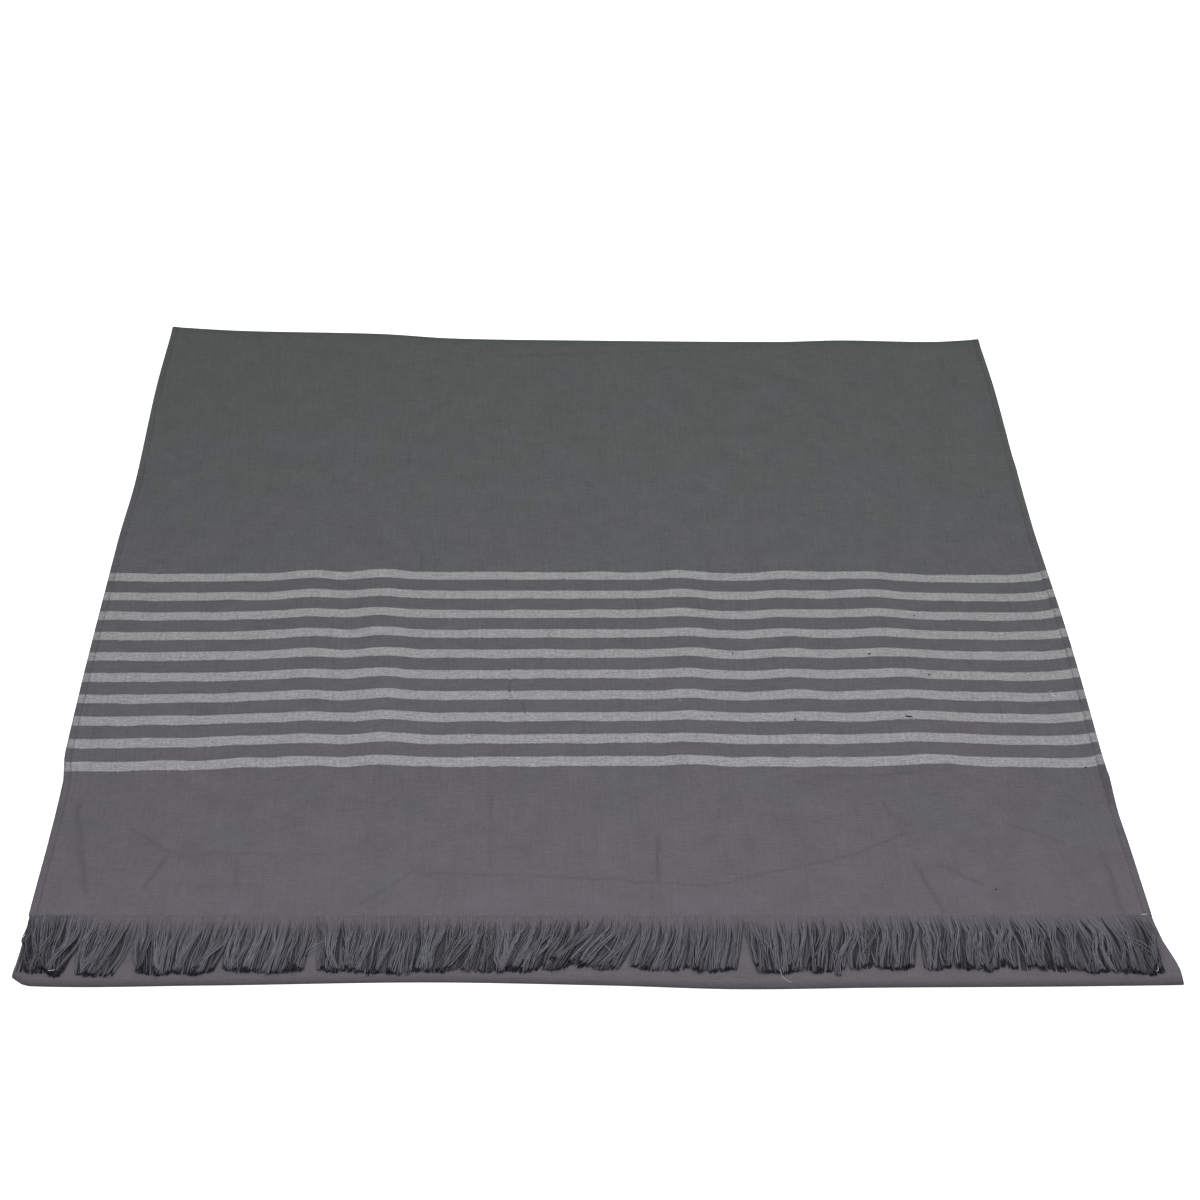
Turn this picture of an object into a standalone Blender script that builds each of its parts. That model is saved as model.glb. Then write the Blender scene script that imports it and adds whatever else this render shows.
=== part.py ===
"""A hammam towel: flat-woven cotton with side hems and a fringe at each end, folded once across, laid flat.

Units are metres and +Z is up. The near edge, where the fringe of the upper half lies, faces -Y.
The origin is on the underside, at the middle of the cloth's width and halfway between its two folds.

The cloth is one sheet, followed from the end of its upper half: back to the far fold, forward again as the
lower half to the near fold, and under itself for the short tuck that hides its other end.
"""

import math
import random
from collections import namedtuple

import bmesh
import bpy

# Driving sizes of the towel
CLOTH_WIDTH = 1.000
CLOTH_LENGTH = 1.800
FRINGE_LENGTH = 0.056
CLOTH_THICKNESS = 0.0012
HEM_WIDTH = 0.008
HEM_THICKNESS = 0.0015

# How it lies: the two folds, and the line where the upper half ends and its fringe begins
FAR_FOLD_Y = 0.442
NEAR_FOLD_Y = -0.452
UPPER_END_Y = -0.385
PART_GAP = 0.0003
LAYER_PITCH = HEM_THICKNESS + PART_GAP
FOLD_BULGE = 0.0012
FOLD_BULGE_REACH = 0.006
FOLD_RADIUS = (LAYER_PITCH + FOLD_BULGE) / 2
FOLD_OUTSIDE = FOLD_RADIUS + CLOTH_THICKNESS / 2

UPPER_LENGTH = FAR_FOLD_Y - FOLD_OUTSIDE - UPPER_END_Y
LOWER_LENGTH = FAR_FOLD_Y - NEAR_FOLD_Y - 2 * FOLD_OUTSIDE
TUCK_LENGTH = CLOTH_LENGTH - UPPER_LENGTH - LOWER_LENGTH - 2 * math.pi * FOLD_RADIUS
TUCK_END_Y = NEAR_FOLD_Y + FOLD_OUTSIDE + TUCK_LENGTH

# The fringe: a narrow woven strip that stays whole, and the locks that the loose warp ends gather into
STRIP_WIDTH = 0.003
LOCK_SHARE = 0.86
LOCK_SEED = 11
LOWER_HALF_SHOWS = 0.009
Fringe = namedtuple("Fringe", "pitch steps crown tip_height uneven")
UPPER_FRINGE = Fringe(pitch=0.0086, steps=5, crown=0.0018, tip_height=0.0010, uneven=0.04)
TUCKED_FRINGE = Fringe(pitch=0.0166, steps=2, crown=0.0012, tip_height=0.0008, uneven=0.03)

# The tufts of the upper fringe from left to right: where each one's roots end, and where its tips lie
Tuft = namedtuple("Tuft", "root_end tip_start tip_end length")
Lock = namedtuple("Lock", "root_left root_right tip_left tip_right length")
UPPER_TUFTS = (
    Tuft(root_end=-0.440, tip_start=-0.490, tip_end=-0.444, length=0.057),
    Tuft(root_end=-0.395, tip_start=-0.436, tip_end=-0.398, length=0.058),
    Tuft(root_end=-0.356, tip_start=-0.385, tip_end=-0.355, length=0.058),
    Tuft(root_end=-0.310, tip_start=-0.353, tip_end=-0.312, length=0.057),
    Tuft(root_end=-0.238, tip_start=-0.310, tip_end=-0.243, length=0.056),
    Tuft(root_end=-0.202, tip_start=-0.229, tip_end=-0.205, length=0.055),
    Tuft(root_end=-0.138, tip_start=-0.203, tip_end=-0.141, length=0.057),
    Tuft(root_end=-0.092, tip_start=-0.138, tip_end=-0.108, length=0.056),
    Tuft(root_end=-0.066, tip_start=-0.098, tip_end=-0.074, length=0.053),
    Tuft(root_end=-0.019, tip_start=-0.072, tip_end=-0.035, length=0.051),
    Tuft(root_end=0.012, tip_start=-0.033, tip_end=-0.013, length=0.051),
    Tuft(root_end=0.048, tip_start=-0.011, tip_end=0.030, length=0.053),
    Tuft(root_end=0.094, tip_start=0.040, tip_end=0.087, length=0.052),
    Tuft(root_end=0.138, tip_start=0.090, tip_end=0.129, length=0.055),
    Tuft(root_end=0.195, tip_start=0.147, tip_end=0.181, length=0.054),
    Tuft(root_end=0.257, tip_start=0.191, tip_end=0.246, length=0.053),
    Tuft(root_end=0.321, tip_start=0.256, tip_end=0.313, length=0.054),
    Tuft(root_end=0.367, tip_start=0.317, tip_end=0.356, length=0.054),
    Tuft(root_end=0.418, tip_start=0.360, tip_end=0.419, length=0.053),
    Tuft(root_end=0.454, tip_start=0.424, tip_end=0.457, length=0.057),
    Tuft(root_end=0.500, tip_start=0.462, tip_end=0.498, length=0.059),
)

# Where the lower half and the upper half stand on what lies under them
FALL_START_Y = TUCK_END_Y + FRINGE_LENGTH + 0.006
FALL_LENGTH = 0.045

# Grid of the sheet
COLUMNS = 34
HEM_STEP = 0.002
UPPER_ROWS = 24
LOWER_ROWS = 4
RISE_ROWS = 5
FLAP_ROWS = 5
BULGE_ROWS = 3
FOLD_ROWS = 5
TUCK_ROWS = 2

# Uneven edges, as they lie: the x of each side at some y, and the y of each fold at some x
Side = namedtuple("Side", "y x")
Line = namedtuple("Line", "x y")
UPPER_LEFT = (
    Side(y=-0.385, x=-0.4930),
    Side(y=-0.245, x=-0.4920),
    Side(y=-0.200, x=-0.4980),
    Side(y=0.090, x=-0.4990),
    Side(y=0.180, x=-0.4965),
    Side(y=0.340, x=-0.5000),
    Side(y=0.464, x=-0.4985),
)
UPPER_RIGHT = (
    Side(y=-0.385, x=0.5000),
    Side(y=-0.250, x=0.4980),
    Side(y=-0.060, x=0.5000),
    Side(y=0.120, x=0.4970),
    Side(y=0.340, x=0.5015),
    Side(y=0.438, x=0.5000),
)
LOWER_LEFT = (
    Side(y=-0.452, x=-0.4950),
    Side(y=-0.385, x=-0.4920),
    Side(y=-0.200, x=-0.4940),
    Side(y=0.340, x=-0.4975),
    Side(y=0.464, x=-0.4985),
)
LOWER_RIGHT = (
    Side(y=-0.452, x=0.5100),
    Side(y=-0.435, x=0.5110),
    Side(y=-0.400, x=0.5020),
    Side(y=-0.300, x=0.4960),
    Side(y=-0.240, x=0.5015),
    Side(y=-0.180, x=0.4970),
    Side(y=0.438, x=0.5000),
)
FAR_FOLD = (
    Line(x=-0.500, y=0.4640),
    Line(x=-0.410, y=0.4560),
    Line(x=-0.240, y=0.4500),
    Line(x=-0.150, y=0.4410),
    Line(x=0.000, y=0.4370),
    Line(x=0.250, y=0.4340),
    Line(x=0.330, y=0.4370),
    Line(x=0.440, y=0.4340),
    Line(x=0.502, y=0.4390),
)
NEAR_FOLD = (
    Line(x=-0.495, y=-0.4445),
    Line(x=-0.479, y=-0.4525),
    Line(x=-0.330, y=-0.4520),
    Line(x=-0.140, y=-0.4490),
    Line(x=0.020, y=-0.4520),
    Line(x=0.130, y=-0.4555),
    Line(x=0.250, y=-0.4540),
    Line(x=0.400, y=-0.4530),
    Line(x=0.511, y=-0.4515),
)

# Soft ridges of the upper half, each a straight crest from one point to another
Ridge = namedtuple("Ridge", "x0 y0 x1 y1 rise spread")
RIDGES = (
    Ridge(x0=-0.214, y0=0.120, x1=-0.190, y1=-0.220, rise=0.0042, spread=0.026),
    Ridge(x0=-0.280, y0=0.050, x1=-0.262, y1=-0.260, rise=0.0024, spread=0.024),
    Ridge(x0=0.110, y0=0.080, x1=0.106, y1=-0.250, rise=0.0026, spread=0.026),
    Ridge(x0=0.216, y0=0.040, x1=0.212, y1=-0.150, rise=0.0026, spread=0.026),
    Ridge(x0=0.300, y0=0.020, x1=0.332, y1=-0.240, rise=0.0028, spread=0.026),
    Ridge(x0=0.500, y0=0.200, x1=0.499, y1=-0.230, rise=0.0026, spread=0.018),
    Ridge(x0=-0.470, y0=-0.260, x1=-0.300, y1=-0.330, rise=0.0016, spread=0.030),
    Ridge(x0=0.330, y0=-0.290, x1=0.440, y1=-0.345, rise=0.0018, spread=0.028),
    Ridge(x0=-0.120, y0=0.300, x1=0.160, y1=0.360, rise=0.0014, spread=0.040),
)


def clear_scene():
    """Removes what the startup file holds."""
    for old in list(bpy.data.objects):
        bpy.data.objects.remove(old)


def new_collection(name):
    collection = bpy.data.collections.new(name)
    bpy.context.scene.collection.children.link(collection)
    return collection


def cotton(name, colour, roughness):
    material = bpy.data.materials.new(name)
    material.use_nodes = True
    shader = material.node_tree.nodes["Principled BSDF"]
    shader.inputs["Base Color"].default_value = (*colour, 1.0)
    shader.inputs["Roughness"].default_value = roughness
    shader.inputs["Metallic"].default_value = 0.0
    return material


def ease(share):
    """Runs smoothly from 0 to 1 as share does."""
    held = min(1.0, max(0.0, share))
    return held * held * (3 - 2 * held)


def through(knots, at):
    """The value at `at` on a smooth curve through (position, value) pairs in rising order."""
    last = len(knots) - 1
    at = min(max(at, knots[0][0]), knots[last][0])
    i = max(k for k in range(last) if knots[k][0] <= at)
    (p0, v0), (p1, v1) = knots[i], knots[i + 1]
    before, after = knots[max(0, i - 1)], knots[min(last, i + 2)]
    span = p1 - p0
    slope0 = (v1 - before[1]) / (p1 - before[0])
    slope1 = (after[1] - v0) / (after[0] - p0)
    t = (at - p0) / span
    return (
        v0 * (1 + 2 * t) * (1 - t) ** 2
        + slope0 * span * t * (1 - t) ** 2
        + v1 * t * t * (3 - 2 * t)
        + slope1 * span * t * t * (t - 1)
    )


def ridge_height(x, y):
    """How far the upper half stands up over its flat lie."""
    height = 0.0
    for ridge in RIDGES:
        along_x, along_y = ridge.x1 - ridge.x0, ridge.y1 - ridge.y0
        length = math.hypot(along_x, along_y)
        share = ((x - ridge.x0) * along_x + (y - ridge.y0) * along_y) / length**2
        held = min(1.0, max(0.0, share))
        away = math.hypot(x - ridge.x0 - held * along_x, y - ridge.y0 - held * along_y)
        height = max(height, ridge.rise * math.exp(-((away / ridge.spread) ** 2)))
    return height


def fold_swell(distance):
    """The soft bulge of a layer near a fold that is `distance` away."""
    return FOLD_BULGE * math.exp(-((distance / FOLD_BULGE_REACH) ** 2))


def lower_underside(x, y):
    """Height of the lower half's underside: on the tuck and its fringe in front, on the surface behind."""
    on_tuck = LAYER_PITCH * (1 - ease((y - FALL_START_Y) / FALL_LENGTH))
    return on_tuck + fold_swell(y - through(NEAR_FOLD, x) - FOLD_OUTSIDE)


def upper_underside(x, y):
    """Height of the upper half's underside, a layer above the lower half's."""
    lying = LAYER_PITCH * (1 - ease((y - FALL_START_Y) / FALL_LENGTH)) + LAYER_PITCH
    fold_y = through(FAR_FOLD, x) - FOLD_OUTSIDE
    settled = ease((fold_y - y) / 0.060) * ease((y - UPPER_END_Y) / 0.020)
    return lying + fold_swell(fold_y - y) + settled * ridge_height(x, y)


def across(share, left, right, y):
    """The x at `share` of the width there, counted in flat cloth from the left edge."""
    return through(left, y) + share * (through(right, y) - through(left, y))


def shares_across():
    """Where the sheet's columns are, as shares of its width: two hems, a step beside each, and the field."""
    edge = [0.0, HEM_WIDTH, HEM_WIDTH + HEM_STEP]
    field = CLOTH_WIDTH - 2 * edge[-1]
    inner = [edge[-1] + field * (k + 1) / COLUMNS for k in range(COLUMNS - 1)]
    stations = edge + inner + [CLOTH_WIDTH - e for e in reversed(edge)]
    return [s / CLOTH_WIDTH for s in stations]


def in_hem(share):
    return min(share, 1 - share) * CLOTH_WIDTH < HEM_WIDTH + HEM_STEP / 2


def half_thickness(share):
    return (HEM_THICKNESS if in_hem(share) else CLOTH_THICKNESS) / 2


def upper_row(t, share):
    """The middle of the sheet on the upper half, from its end at t 0 to the far fold at t 1."""
    x = across(share, UPPER_LEFT, UPPER_RIGHT, UPPER_END_Y + t * UPPER_LENGTH)
    fold_y = through(FAR_FOLD, x) - FOLD_OUTSIDE
    y = UPPER_END_Y + t * (fold_y - UPPER_END_Y)
    x = across(share, UPPER_LEFT, UPPER_RIGHT, y)
    return x, y, upper_underside(x, y) + half_thickness(share)


def lower_row(y_share, share):
    """The middle of the sheet on the lower half, from the far fold at 0 to the near fold at 1."""
    x = across(share, LOWER_LEFT, LOWER_RIGHT, FAR_FOLD_Y - y_share * LOWER_LENGTH)
    start = through(FAR_FOLD, x) - FOLD_OUTSIDE
    end = through(NEAR_FOLD, x) + FOLD_OUTSIDE
    y = start + y_share * (end - start)
    x = across(share, LOWER_LEFT, LOWER_RIGHT, y)
    return x, y, lower_underside(x, y) + half_thickness(share)


def turn(start, end, t, outward):
    """A point on the half circle by which the sheet turns from start to end, bulging along Y."""
    angle = math.pi * t
    bulge = outward * FOLD_RADIUS * math.sin(angle)
    swing = (1 - math.cos(angle)) / 2
    x, y, z = (s + (e - s) * swing for s, e in zip(start, end))
    return x, y + bulge, z


def tuck_row(t, share):
    """The middle of the sheet under itself, from the near fold at t 0 to its other end at t 1."""
    near_x, near_y, _ = lower_row(1.0, share)
    y = near_y + t * (TUCK_END_Y - near_y)
    x = near_x + t * (across(share, LOWER_LEFT, LOWER_RIGHT, TUCK_END_Y) - near_x)
    return x, y, half_thickness(share)


def spaced(start, end, steps):
    """Evenly spaced values from start up to, but not including, end."""
    return [start + (end - start) * k / steps for k in range(steps)]


def upper_stations():
    """Shares of the upper half's length, close together near the far fold."""
    bulge = 1 - 2 * FOLD_BULGE_REACH / UPPER_LENGTH
    return spaced(0.0, bulge, UPPER_ROWS) + spaced(bulge, 1.0, BULGE_ROWS) + [1.0]


def lower_stations():
    """Shares of the lower half's length, close together on the climb to the tuck and near each fold."""
    start, end = FAR_FOLD_Y - FOLD_OUTSIDE, NEAR_FOLD_Y + FOLD_OUTSIDE
    fall_end, bulge = FALL_START_Y + FALL_LENGTH, end + 2 * FOLD_BULGE_REACH
    stations = [start] + spaced(start - FOLD_BULGE_REACH, fall_end, LOWER_ROWS)
    stations += spaced(fall_end, FALL_START_Y, RISE_ROWS)
    stations += spaced(FALL_START_Y, bulge, FLAP_ROWS)
    stations += spaced(bulge, end, BULGE_ROWS) + [end]
    return [(start - y) / LOWER_LENGTH for y in stations]


def sheet_rows():
    """Every row of the sheet in the order that the cloth runs, as a function from share of width to point."""
    turns = [k / FOLD_ROWS for k in range(1, FOLD_ROWS)]
    upper = [lambda s, t=t: upper_row(t, s) for t in upper_stations()]
    lower = [lambda s, t=t: lower_row(t, s) for t in lower_stations()]
    tuck = [lambda s, t=t: tuck_row(t, s) for t in spaced(0.0, 1.0, TUCK_ROWS) + [1.0]]
    far = [lambda s, t=t: turn(upper[-1](s), lower[0](s), t, 1) for t in turns]
    near = [lambda s, t=t: turn(lower[-1](s), tuck[0](s), t, -1) for t in turns]
    return upper + far + lower + near + tuck


def make_cloth(collection, material):
    """The towel without its fringes: a grid bent along the folds and given thickness, more in the hems."""
    rows, shares = sheet_rows(), shares_across()
    grid = bmesh.new()
    bmesh.ops.create_grid(grid, x_segments=len(shares) - 1, y_segments=len(rows) - 1, size=0.5)
    hem_points = []
    for vertex in grid.verts:
        column = round((vertex.co.x + 0.5) * (len(shares) - 1))
        row = round((vertex.co.y + 0.5) * (len(rows) - 1))
        vertex.co = rows[row](shares[column])
        if in_hem(shares[column]):
            hem_points.append(vertex.index)
    mesh = bpy.data.meshes.new("cloth")
    grid.to_mesh(mesh)
    grid.free()
    cloth = bpy.data.objects.new("cloth", mesh)
    collection.objects.link(cloth)
    hems = cloth.vertex_groups.new(name="hems")
    hems.add(hem_points, 1.0, "REPLACE")
    solidify = cloth.modifiers.new("thickness", "SOLIDIFY")
    solidify.thickness = HEM_THICKNESS
    solidify.offset = 0.0
    solidify.vertex_group = hems.name
    solidify.thickness_vertex_group = CLOTH_THICKNESS / HEM_THICKNESS
    mesh.materials.append(material)
    return cloth


def locks_of(tufts, left, pitch):
    """Every lock from left to right: the two edges of its root, the two edges of its tip, and its length."""
    locks = []
    for tuft in tufts:
        width = tuft.root_end - left
        count = round(width / pitch)
        for number in range(count):
            sides = (number / count, (number + LOCK_SHARE) / count)
            roots = [left + side * width for side in sides]
            tips = [tuft.tip_start + side * (tuft.tip_end - tuft.tip_start) for side in sides]
            locks.append(Lock(*roots, *tips, tuft.length - STRIP_WIDTH))
        left = tuft.root_end
    return locks


def lock_ring(lock, front_y, tip_y, underside, t, fringe):
    """The four corners of a lock at share t of its length: flat below and crowned above."""
    swing = t**1.5
    x0 = lock.root_left + swing * (lock.tip_left - lock.root_left)
    x1 = lock.root_right + swing * (lock.tip_right - lock.root_right)
    y = front_y + t * (tip_y - front_y)
    low = underside((x0 + x1) / 2, y)
    crown = CLOTH_THICKNESS + (fringe.crown - CLOTH_THICKNESS) * math.sin(math.pi * min(1.0, 1.6 * t))
    high = low + crown + (fringe.tip_height - crown) * ease((t - 0.6) / 0.4)
    narrow = 0.14 * (x1 - x0) * ease(t / 0.3)
    return (x0, y, low), (x1, y, low), (x1 - narrow, y, high), (x0 + narrow, y, high)


def make_strip(locks, back_y, front_y, underside):
    """The strip that stays whole, with one cell of its front for each lock and one between each two locks."""
    edges = [x for lock in locks for x in (lock.root_left, lock.root_right)]
    strip = bmesh.new()
    bmesh.ops.create_grid(strip, x_segments=len(edges) - 1, y_segments=1, size=0.5)
    for vertex in strip.verts:
        x = edges[round((vertex.co.x + 0.5) * (len(edges) - 1))]
        top = CLOTH_THICKNESS if vertex.co.y > 0 else 0.0
        vertex.co = (x, front_y, underside(x, front_y) + top)
    cells = sorted(strip.faces, key=lambda face: face.calc_center_median().x)
    back = bmesh.ops.extrude_face_region(strip, geom=cells, use_keep_orig=True)["geom"]
    for item in back:
        if isinstance(item, bmesh.types.BMVert):
            item.co.y = back_y
    return strip, cells[::2]


def draw_lock(strip, cell, lock, front_y, tip_y, underside, fringe):
    """Draws one lock out of its cell of the strip, a step at a time."""
    for step in range(1, fringe.steps + 1):
        cell = bmesh.ops.extrude_discrete_faces(strip, faces=[cell])["faces"][0]
        ring = lock_ring(lock, front_y, tip_y, underside, step / fringe.steps, fringe)
        middle = cell.calc_center_median()
        for vertex in cell.verts:
            on_right = vertex.co.x > middle.x
            on_top = vertex.co.z > middle.z
            vertex.co = ring[(2 if on_right else 3) if on_top else (1 if on_right else 0)]


def make_fringe(collection, material, name, fringe, locks, root_y, heading, underside):
    """A fringe in one piece: its strip, and each of its locks.

    heading is -1 where the locks point to the near edge and +1 where they point back under the cloth,
    and underside gives the height at x, y that they lie at."""
    chance = random.Random(LOCK_SEED)
    front_y = root_y + heading * STRIP_WIDTH
    strip, cells = make_strip(locks, root_y + heading * PART_GAP, front_y, underside)
    for lock, cell in zip(locks, cells):
        length = lock.length * (1 + fringe.uneven * chance.uniform(-1, 1))
        nearest = through(NEAR_FOLD, lock.tip_left) + LOWER_HALF_SHOWS
        draw_lock(strip, cell, lock, front_y, max(front_y + heading * length, nearest), underside, fringe)
    bmesh.ops.recalc_face_normals(strip, faces=strip.faces)
    mesh = bpy.data.meshes.new(name)
    strip.to_mesh(mesh)
    strip.free()
    mesh.materials.append(material)
    collection.objects.link(bpy.data.objects.new(name, mesh))


def make_upper_fringe(collection, material):
    locks = locks_of(UPPER_TUFTS, through(UPPER_LEFT, UPPER_END_Y), UPPER_FRINGE.pitch)
    make_fringe(
        collection,
        material,
        "fringe_upper",
        UPPER_FRINGE,
        locks,
        UPPER_END_Y,
        -1,
        lambda x, y: lower_underside(x, y) + LAYER_PITCH,
    )


def make_tucked_fringe(collection, material):
    left = through(LOWER_LEFT, TUCK_END_Y)
    right = through(LOWER_RIGHT, TUCK_END_Y)
    straight = Tuft(root_end=right, tip_start=left, tip_end=right, length=FRINGE_LENGTH)
    locks = locks_of([straight], left, TUCKED_FRINGE.pitch)
    make_fringe(collection, material, "fringe_tucked", TUCKED_FRINGE, locks, TUCK_END_Y, 1, lambda x, y: 0.0)


def main():
    clear_scene()
    towel = new_collection("hammam_towel")
    woven = cotton("woven cotton", (0.125, 0.122, 0.131), 0.92)
    loose = cotton("loose warp ends", (0.093, 0.093, 0.099), 0.88)
    make_cloth(towel, woven)
    make_upper_fringe(towel, loose)
    make_tucked_fringe(towel, loose)


main()
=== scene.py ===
"""The hammam towel as it is seen: folded once across, laid flat, with its weave, stripes, hems and fringe."""

import math
from collections import namedtuple

import bpy
import numpy as np
from bpy.props import FloatProperty, FloatVectorProperty, IntProperty, PointerProperty
from bpy.types import Operator, Panel, PropertyGroup
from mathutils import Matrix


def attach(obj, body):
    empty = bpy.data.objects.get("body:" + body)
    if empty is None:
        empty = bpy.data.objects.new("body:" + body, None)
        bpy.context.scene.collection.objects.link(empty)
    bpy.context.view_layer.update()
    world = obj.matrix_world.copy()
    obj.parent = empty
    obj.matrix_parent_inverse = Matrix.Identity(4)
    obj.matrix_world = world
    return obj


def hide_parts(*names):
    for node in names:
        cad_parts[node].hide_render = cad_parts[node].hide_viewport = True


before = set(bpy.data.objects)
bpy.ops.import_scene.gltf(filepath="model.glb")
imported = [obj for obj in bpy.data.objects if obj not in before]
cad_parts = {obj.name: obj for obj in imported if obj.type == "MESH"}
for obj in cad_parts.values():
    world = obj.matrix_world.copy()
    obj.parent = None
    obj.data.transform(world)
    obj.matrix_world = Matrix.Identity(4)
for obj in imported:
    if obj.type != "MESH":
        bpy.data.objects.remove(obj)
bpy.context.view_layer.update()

bl_info = {
    "name": "Hammam towel",
    "version": (1, 0, 0),
    "blender": (4, 5, 0),
    "location": "View3D > Sidebar > Towel",
    "description": "A flat-woven fringed towel, folded once across and laid flat",
    "category": "Object",
}

MM = 0.001
SEED = 4
YARN_SIDES = 4


def table(columns, *rows):
    """A short table whose rows have named columns."""
    row = namedtuple("row", columns)
    return [row(*values) for values in rows]


# The sides of each half, as x at some y, and the two folds, as y at some x, from the solids
UPPER_LEFT = table(
    "y x",
    (-0.385, -0.4930),
    (-0.245, -0.4920),
    (-0.200, -0.4980),
    (0.090, -0.4990),
    (0.180, -0.4965),
    (0.340, -0.5000),
    (0.464, -0.4985),
)
UPPER_RIGHT = table(
    "y x",
    (-0.385, 0.5000),
    (-0.250, 0.4980),
    (-0.060, 0.5000),
    (0.120, 0.4970),
    (0.340, 0.5015),
    (0.438, 0.5000),
)
LOWER_LEFT = table(
    "y x",
    (-0.452, -0.4950),
    (-0.385, -0.4920),
    (-0.200, -0.4940),
    (0.340, -0.4975),
    (0.464, -0.4985),
)
LOWER_RIGHT = table(
    "y x",
    (-0.452, 0.5100),
    (-0.435, 0.5110),
    (-0.400, 0.5020),
    (-0.300, 0.4960),
    (-0.240, 0.5015),
    (-0.180, 0.4970),
    (0.438, 0.5000),
)
FAR_FOLD = table(
    "x y",
    (-0.500, 0.4640),
    (-0.410, 0.4560),
    (-0.240, 0.4500),
    (-0.150, 0.4410),
    (0.000, 0.4370),
    (0.250, 0.4340),
    (0.330, 0.4370),
    (0.440, 0.4340),
    (0.502, 0.4390),
)
NEAR_FOLD = table(
    "x y",
    (-0.495, -0.4445),
    (-0.479, -0.4525),
    (-0.330, -0.4520),
    (-0.140, -0.4490),
    (0.020, -0.4520),
    (0.130, -0.4555),
    (0.250, -0.4540),
    (0.400, -0.4530),
    (0.511, -0.4515),
)

# Soft ridges of the upper half, each a straight crest
RIDGES = table(
    "x0 y0 x1 y1 rise spread",
    (-0.214, 0.120, -0.190, -0.220, 0.0042, 0.026),
    (-0.280, 0.050, -0.262, -0.260, 0.0024, 0.024),
    (0.110, 0.080, 0.106, -0.250, 0.0026, 0.026),
    (0.216, 0.040, 0.212, -0.150, 0.0026, 0.026),
    (0.300, 0.020, 0.332, -0.240, 0.0028, 0.026),
    (0.500, 0.200, 0.499, -0.230, 0.0026, 0.018),
    (-0.470, -0.260, -0.300, -0.330, 0.0016, 0.030),
    (0.330, -0.290, 0.440, -0.345, 0.0018, 0.028),
    (-0.120, 0.300, 0.160, 0.360, 0.0014, 0.040),
)

# Fine creases of the upper half: their ends, their width, and how sharp they are
CREASES = table(
    "x0 y0 x1 y1 width sharp",
    (-0.204, -0.374, -0.156, -0.339, 0.0022, 0.6),
    (-0.156, -0.339, -0.043, -0.344, 0.0022, 0.6),
    (-0.043, -0.344, 0.110, -0.355, 0.0022, 0.8),
    (0.110, -0.355, 0.247, -0.320, 0.0022, 0.7),
    (0.247, -0.320, 0.294, -0.299, 0.0024, 0.8),
    (0.067, -0.304, 0.065, -0.351, 0.0036, 1.1),
    (-0.472, -0.262, -0.458, -0.315, 0.0055, 0.9),
    (-0.458, -0.315, -0.447, -0.355, 0.0040, 1.1),
    (-0.419, -0.287, -0.377, -0.316, 0.0028, 0.7),
    (-0.377, -0.316, -0.282, -0.321, 0.0022, 0.5),
    (-0.377, -0.316, -0.395, -0.350, 0.0032, 0.9),
    (-0.316, -0.320, -0.311, -0.359, 0.0038, 0.5),
    (-0.165, -0.254, -0.162, -0.304, 0.0045, 0.4),
    (-0.088, -0.237, -0.086, -0.335, 0.0050, 0.5),
    (-0.083, -0.200, -0.088, -0.237, 0.0060, 0.5),
    (0.281, -0.262, 0.283, -0.275, 0.0028, 1.0),
    (0.283, -0.275, 0.300, -0.290, 0.0024, 0.9),
    (0.299, -0.332, 0.317, -0.382, 0.0030, 1.0),
    (0.319, -0.332, 0.355, -0.355, 0.0026, 1.0),
    (0.336, -0.318, 0.338, -0.345, 0.0028, 0.6),
    (0.388, -0.287, 0.413, -0.296, 0.0024, 0.9),
    (0.413, -0.296, 0.438, -0.308, 0.0024, 0.7),
    (0.177, -0.275, 0.184, -0.299, 0.0026, 0.5),
    (0.471, -0.318, 0.474, -0.382, 0.0050, 0.9),
    (0.230, -0.232, 0.345, -0.226, 0.0045, 0.5),
    (-0.071, -0.098, -0.071, -0.140, 0.0022, 1.0),
    (-0.058, -0.142, -0.055, -0.160, 0.0018, 1.0),
    (-0.090, 0.405, 0.060, 0.412, 0.0040, 0.6),
    (0.060, 0.412, 0.229, 0.424, 0.0040, 0.4),
    (0.141, 0.400, 0.271, 0.357, 0.0050, 0.5),
    (0.4935, -0.222, 0.4940, -0.262, 0.0060, 1.2),
)

# How far the crosswise threads bow from straight, by x: at the stripe nearest the far fold, and at the
# one nearest the fringe
BOWS = table(
    "x far near",
    (-0.500, -0.0015, -0.0060),
    (-0.450, -0.0024, -0.0060),
    (-0.410, -0.0030, -0.0046),
    (-0.370, -0.0020, -0.0042),
    (-0.330, -0.0022, -0.0018),
    (-0.300, 0.0002, -0.0012),
    (-0.250, 0.0002, -0.0010),
    (-0.100, 0.0000, -0.0002),
    (0.050, 0.0000, 0.0008),
    (0.105, 0.0002, 0.0004),
    (0.160, -0.0022, -0.0004),
    (0.210, -0.0010, -0.0004),
    (0.310, -0.0002, 0.0004),
    (0.352, -0.0030, 0.0014),
    (0.430, -0.0044, -0.0014),
    (0.470, -0.0034, -0.0016),
    (0.500, -0.0014, -0.0010),
)

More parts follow.
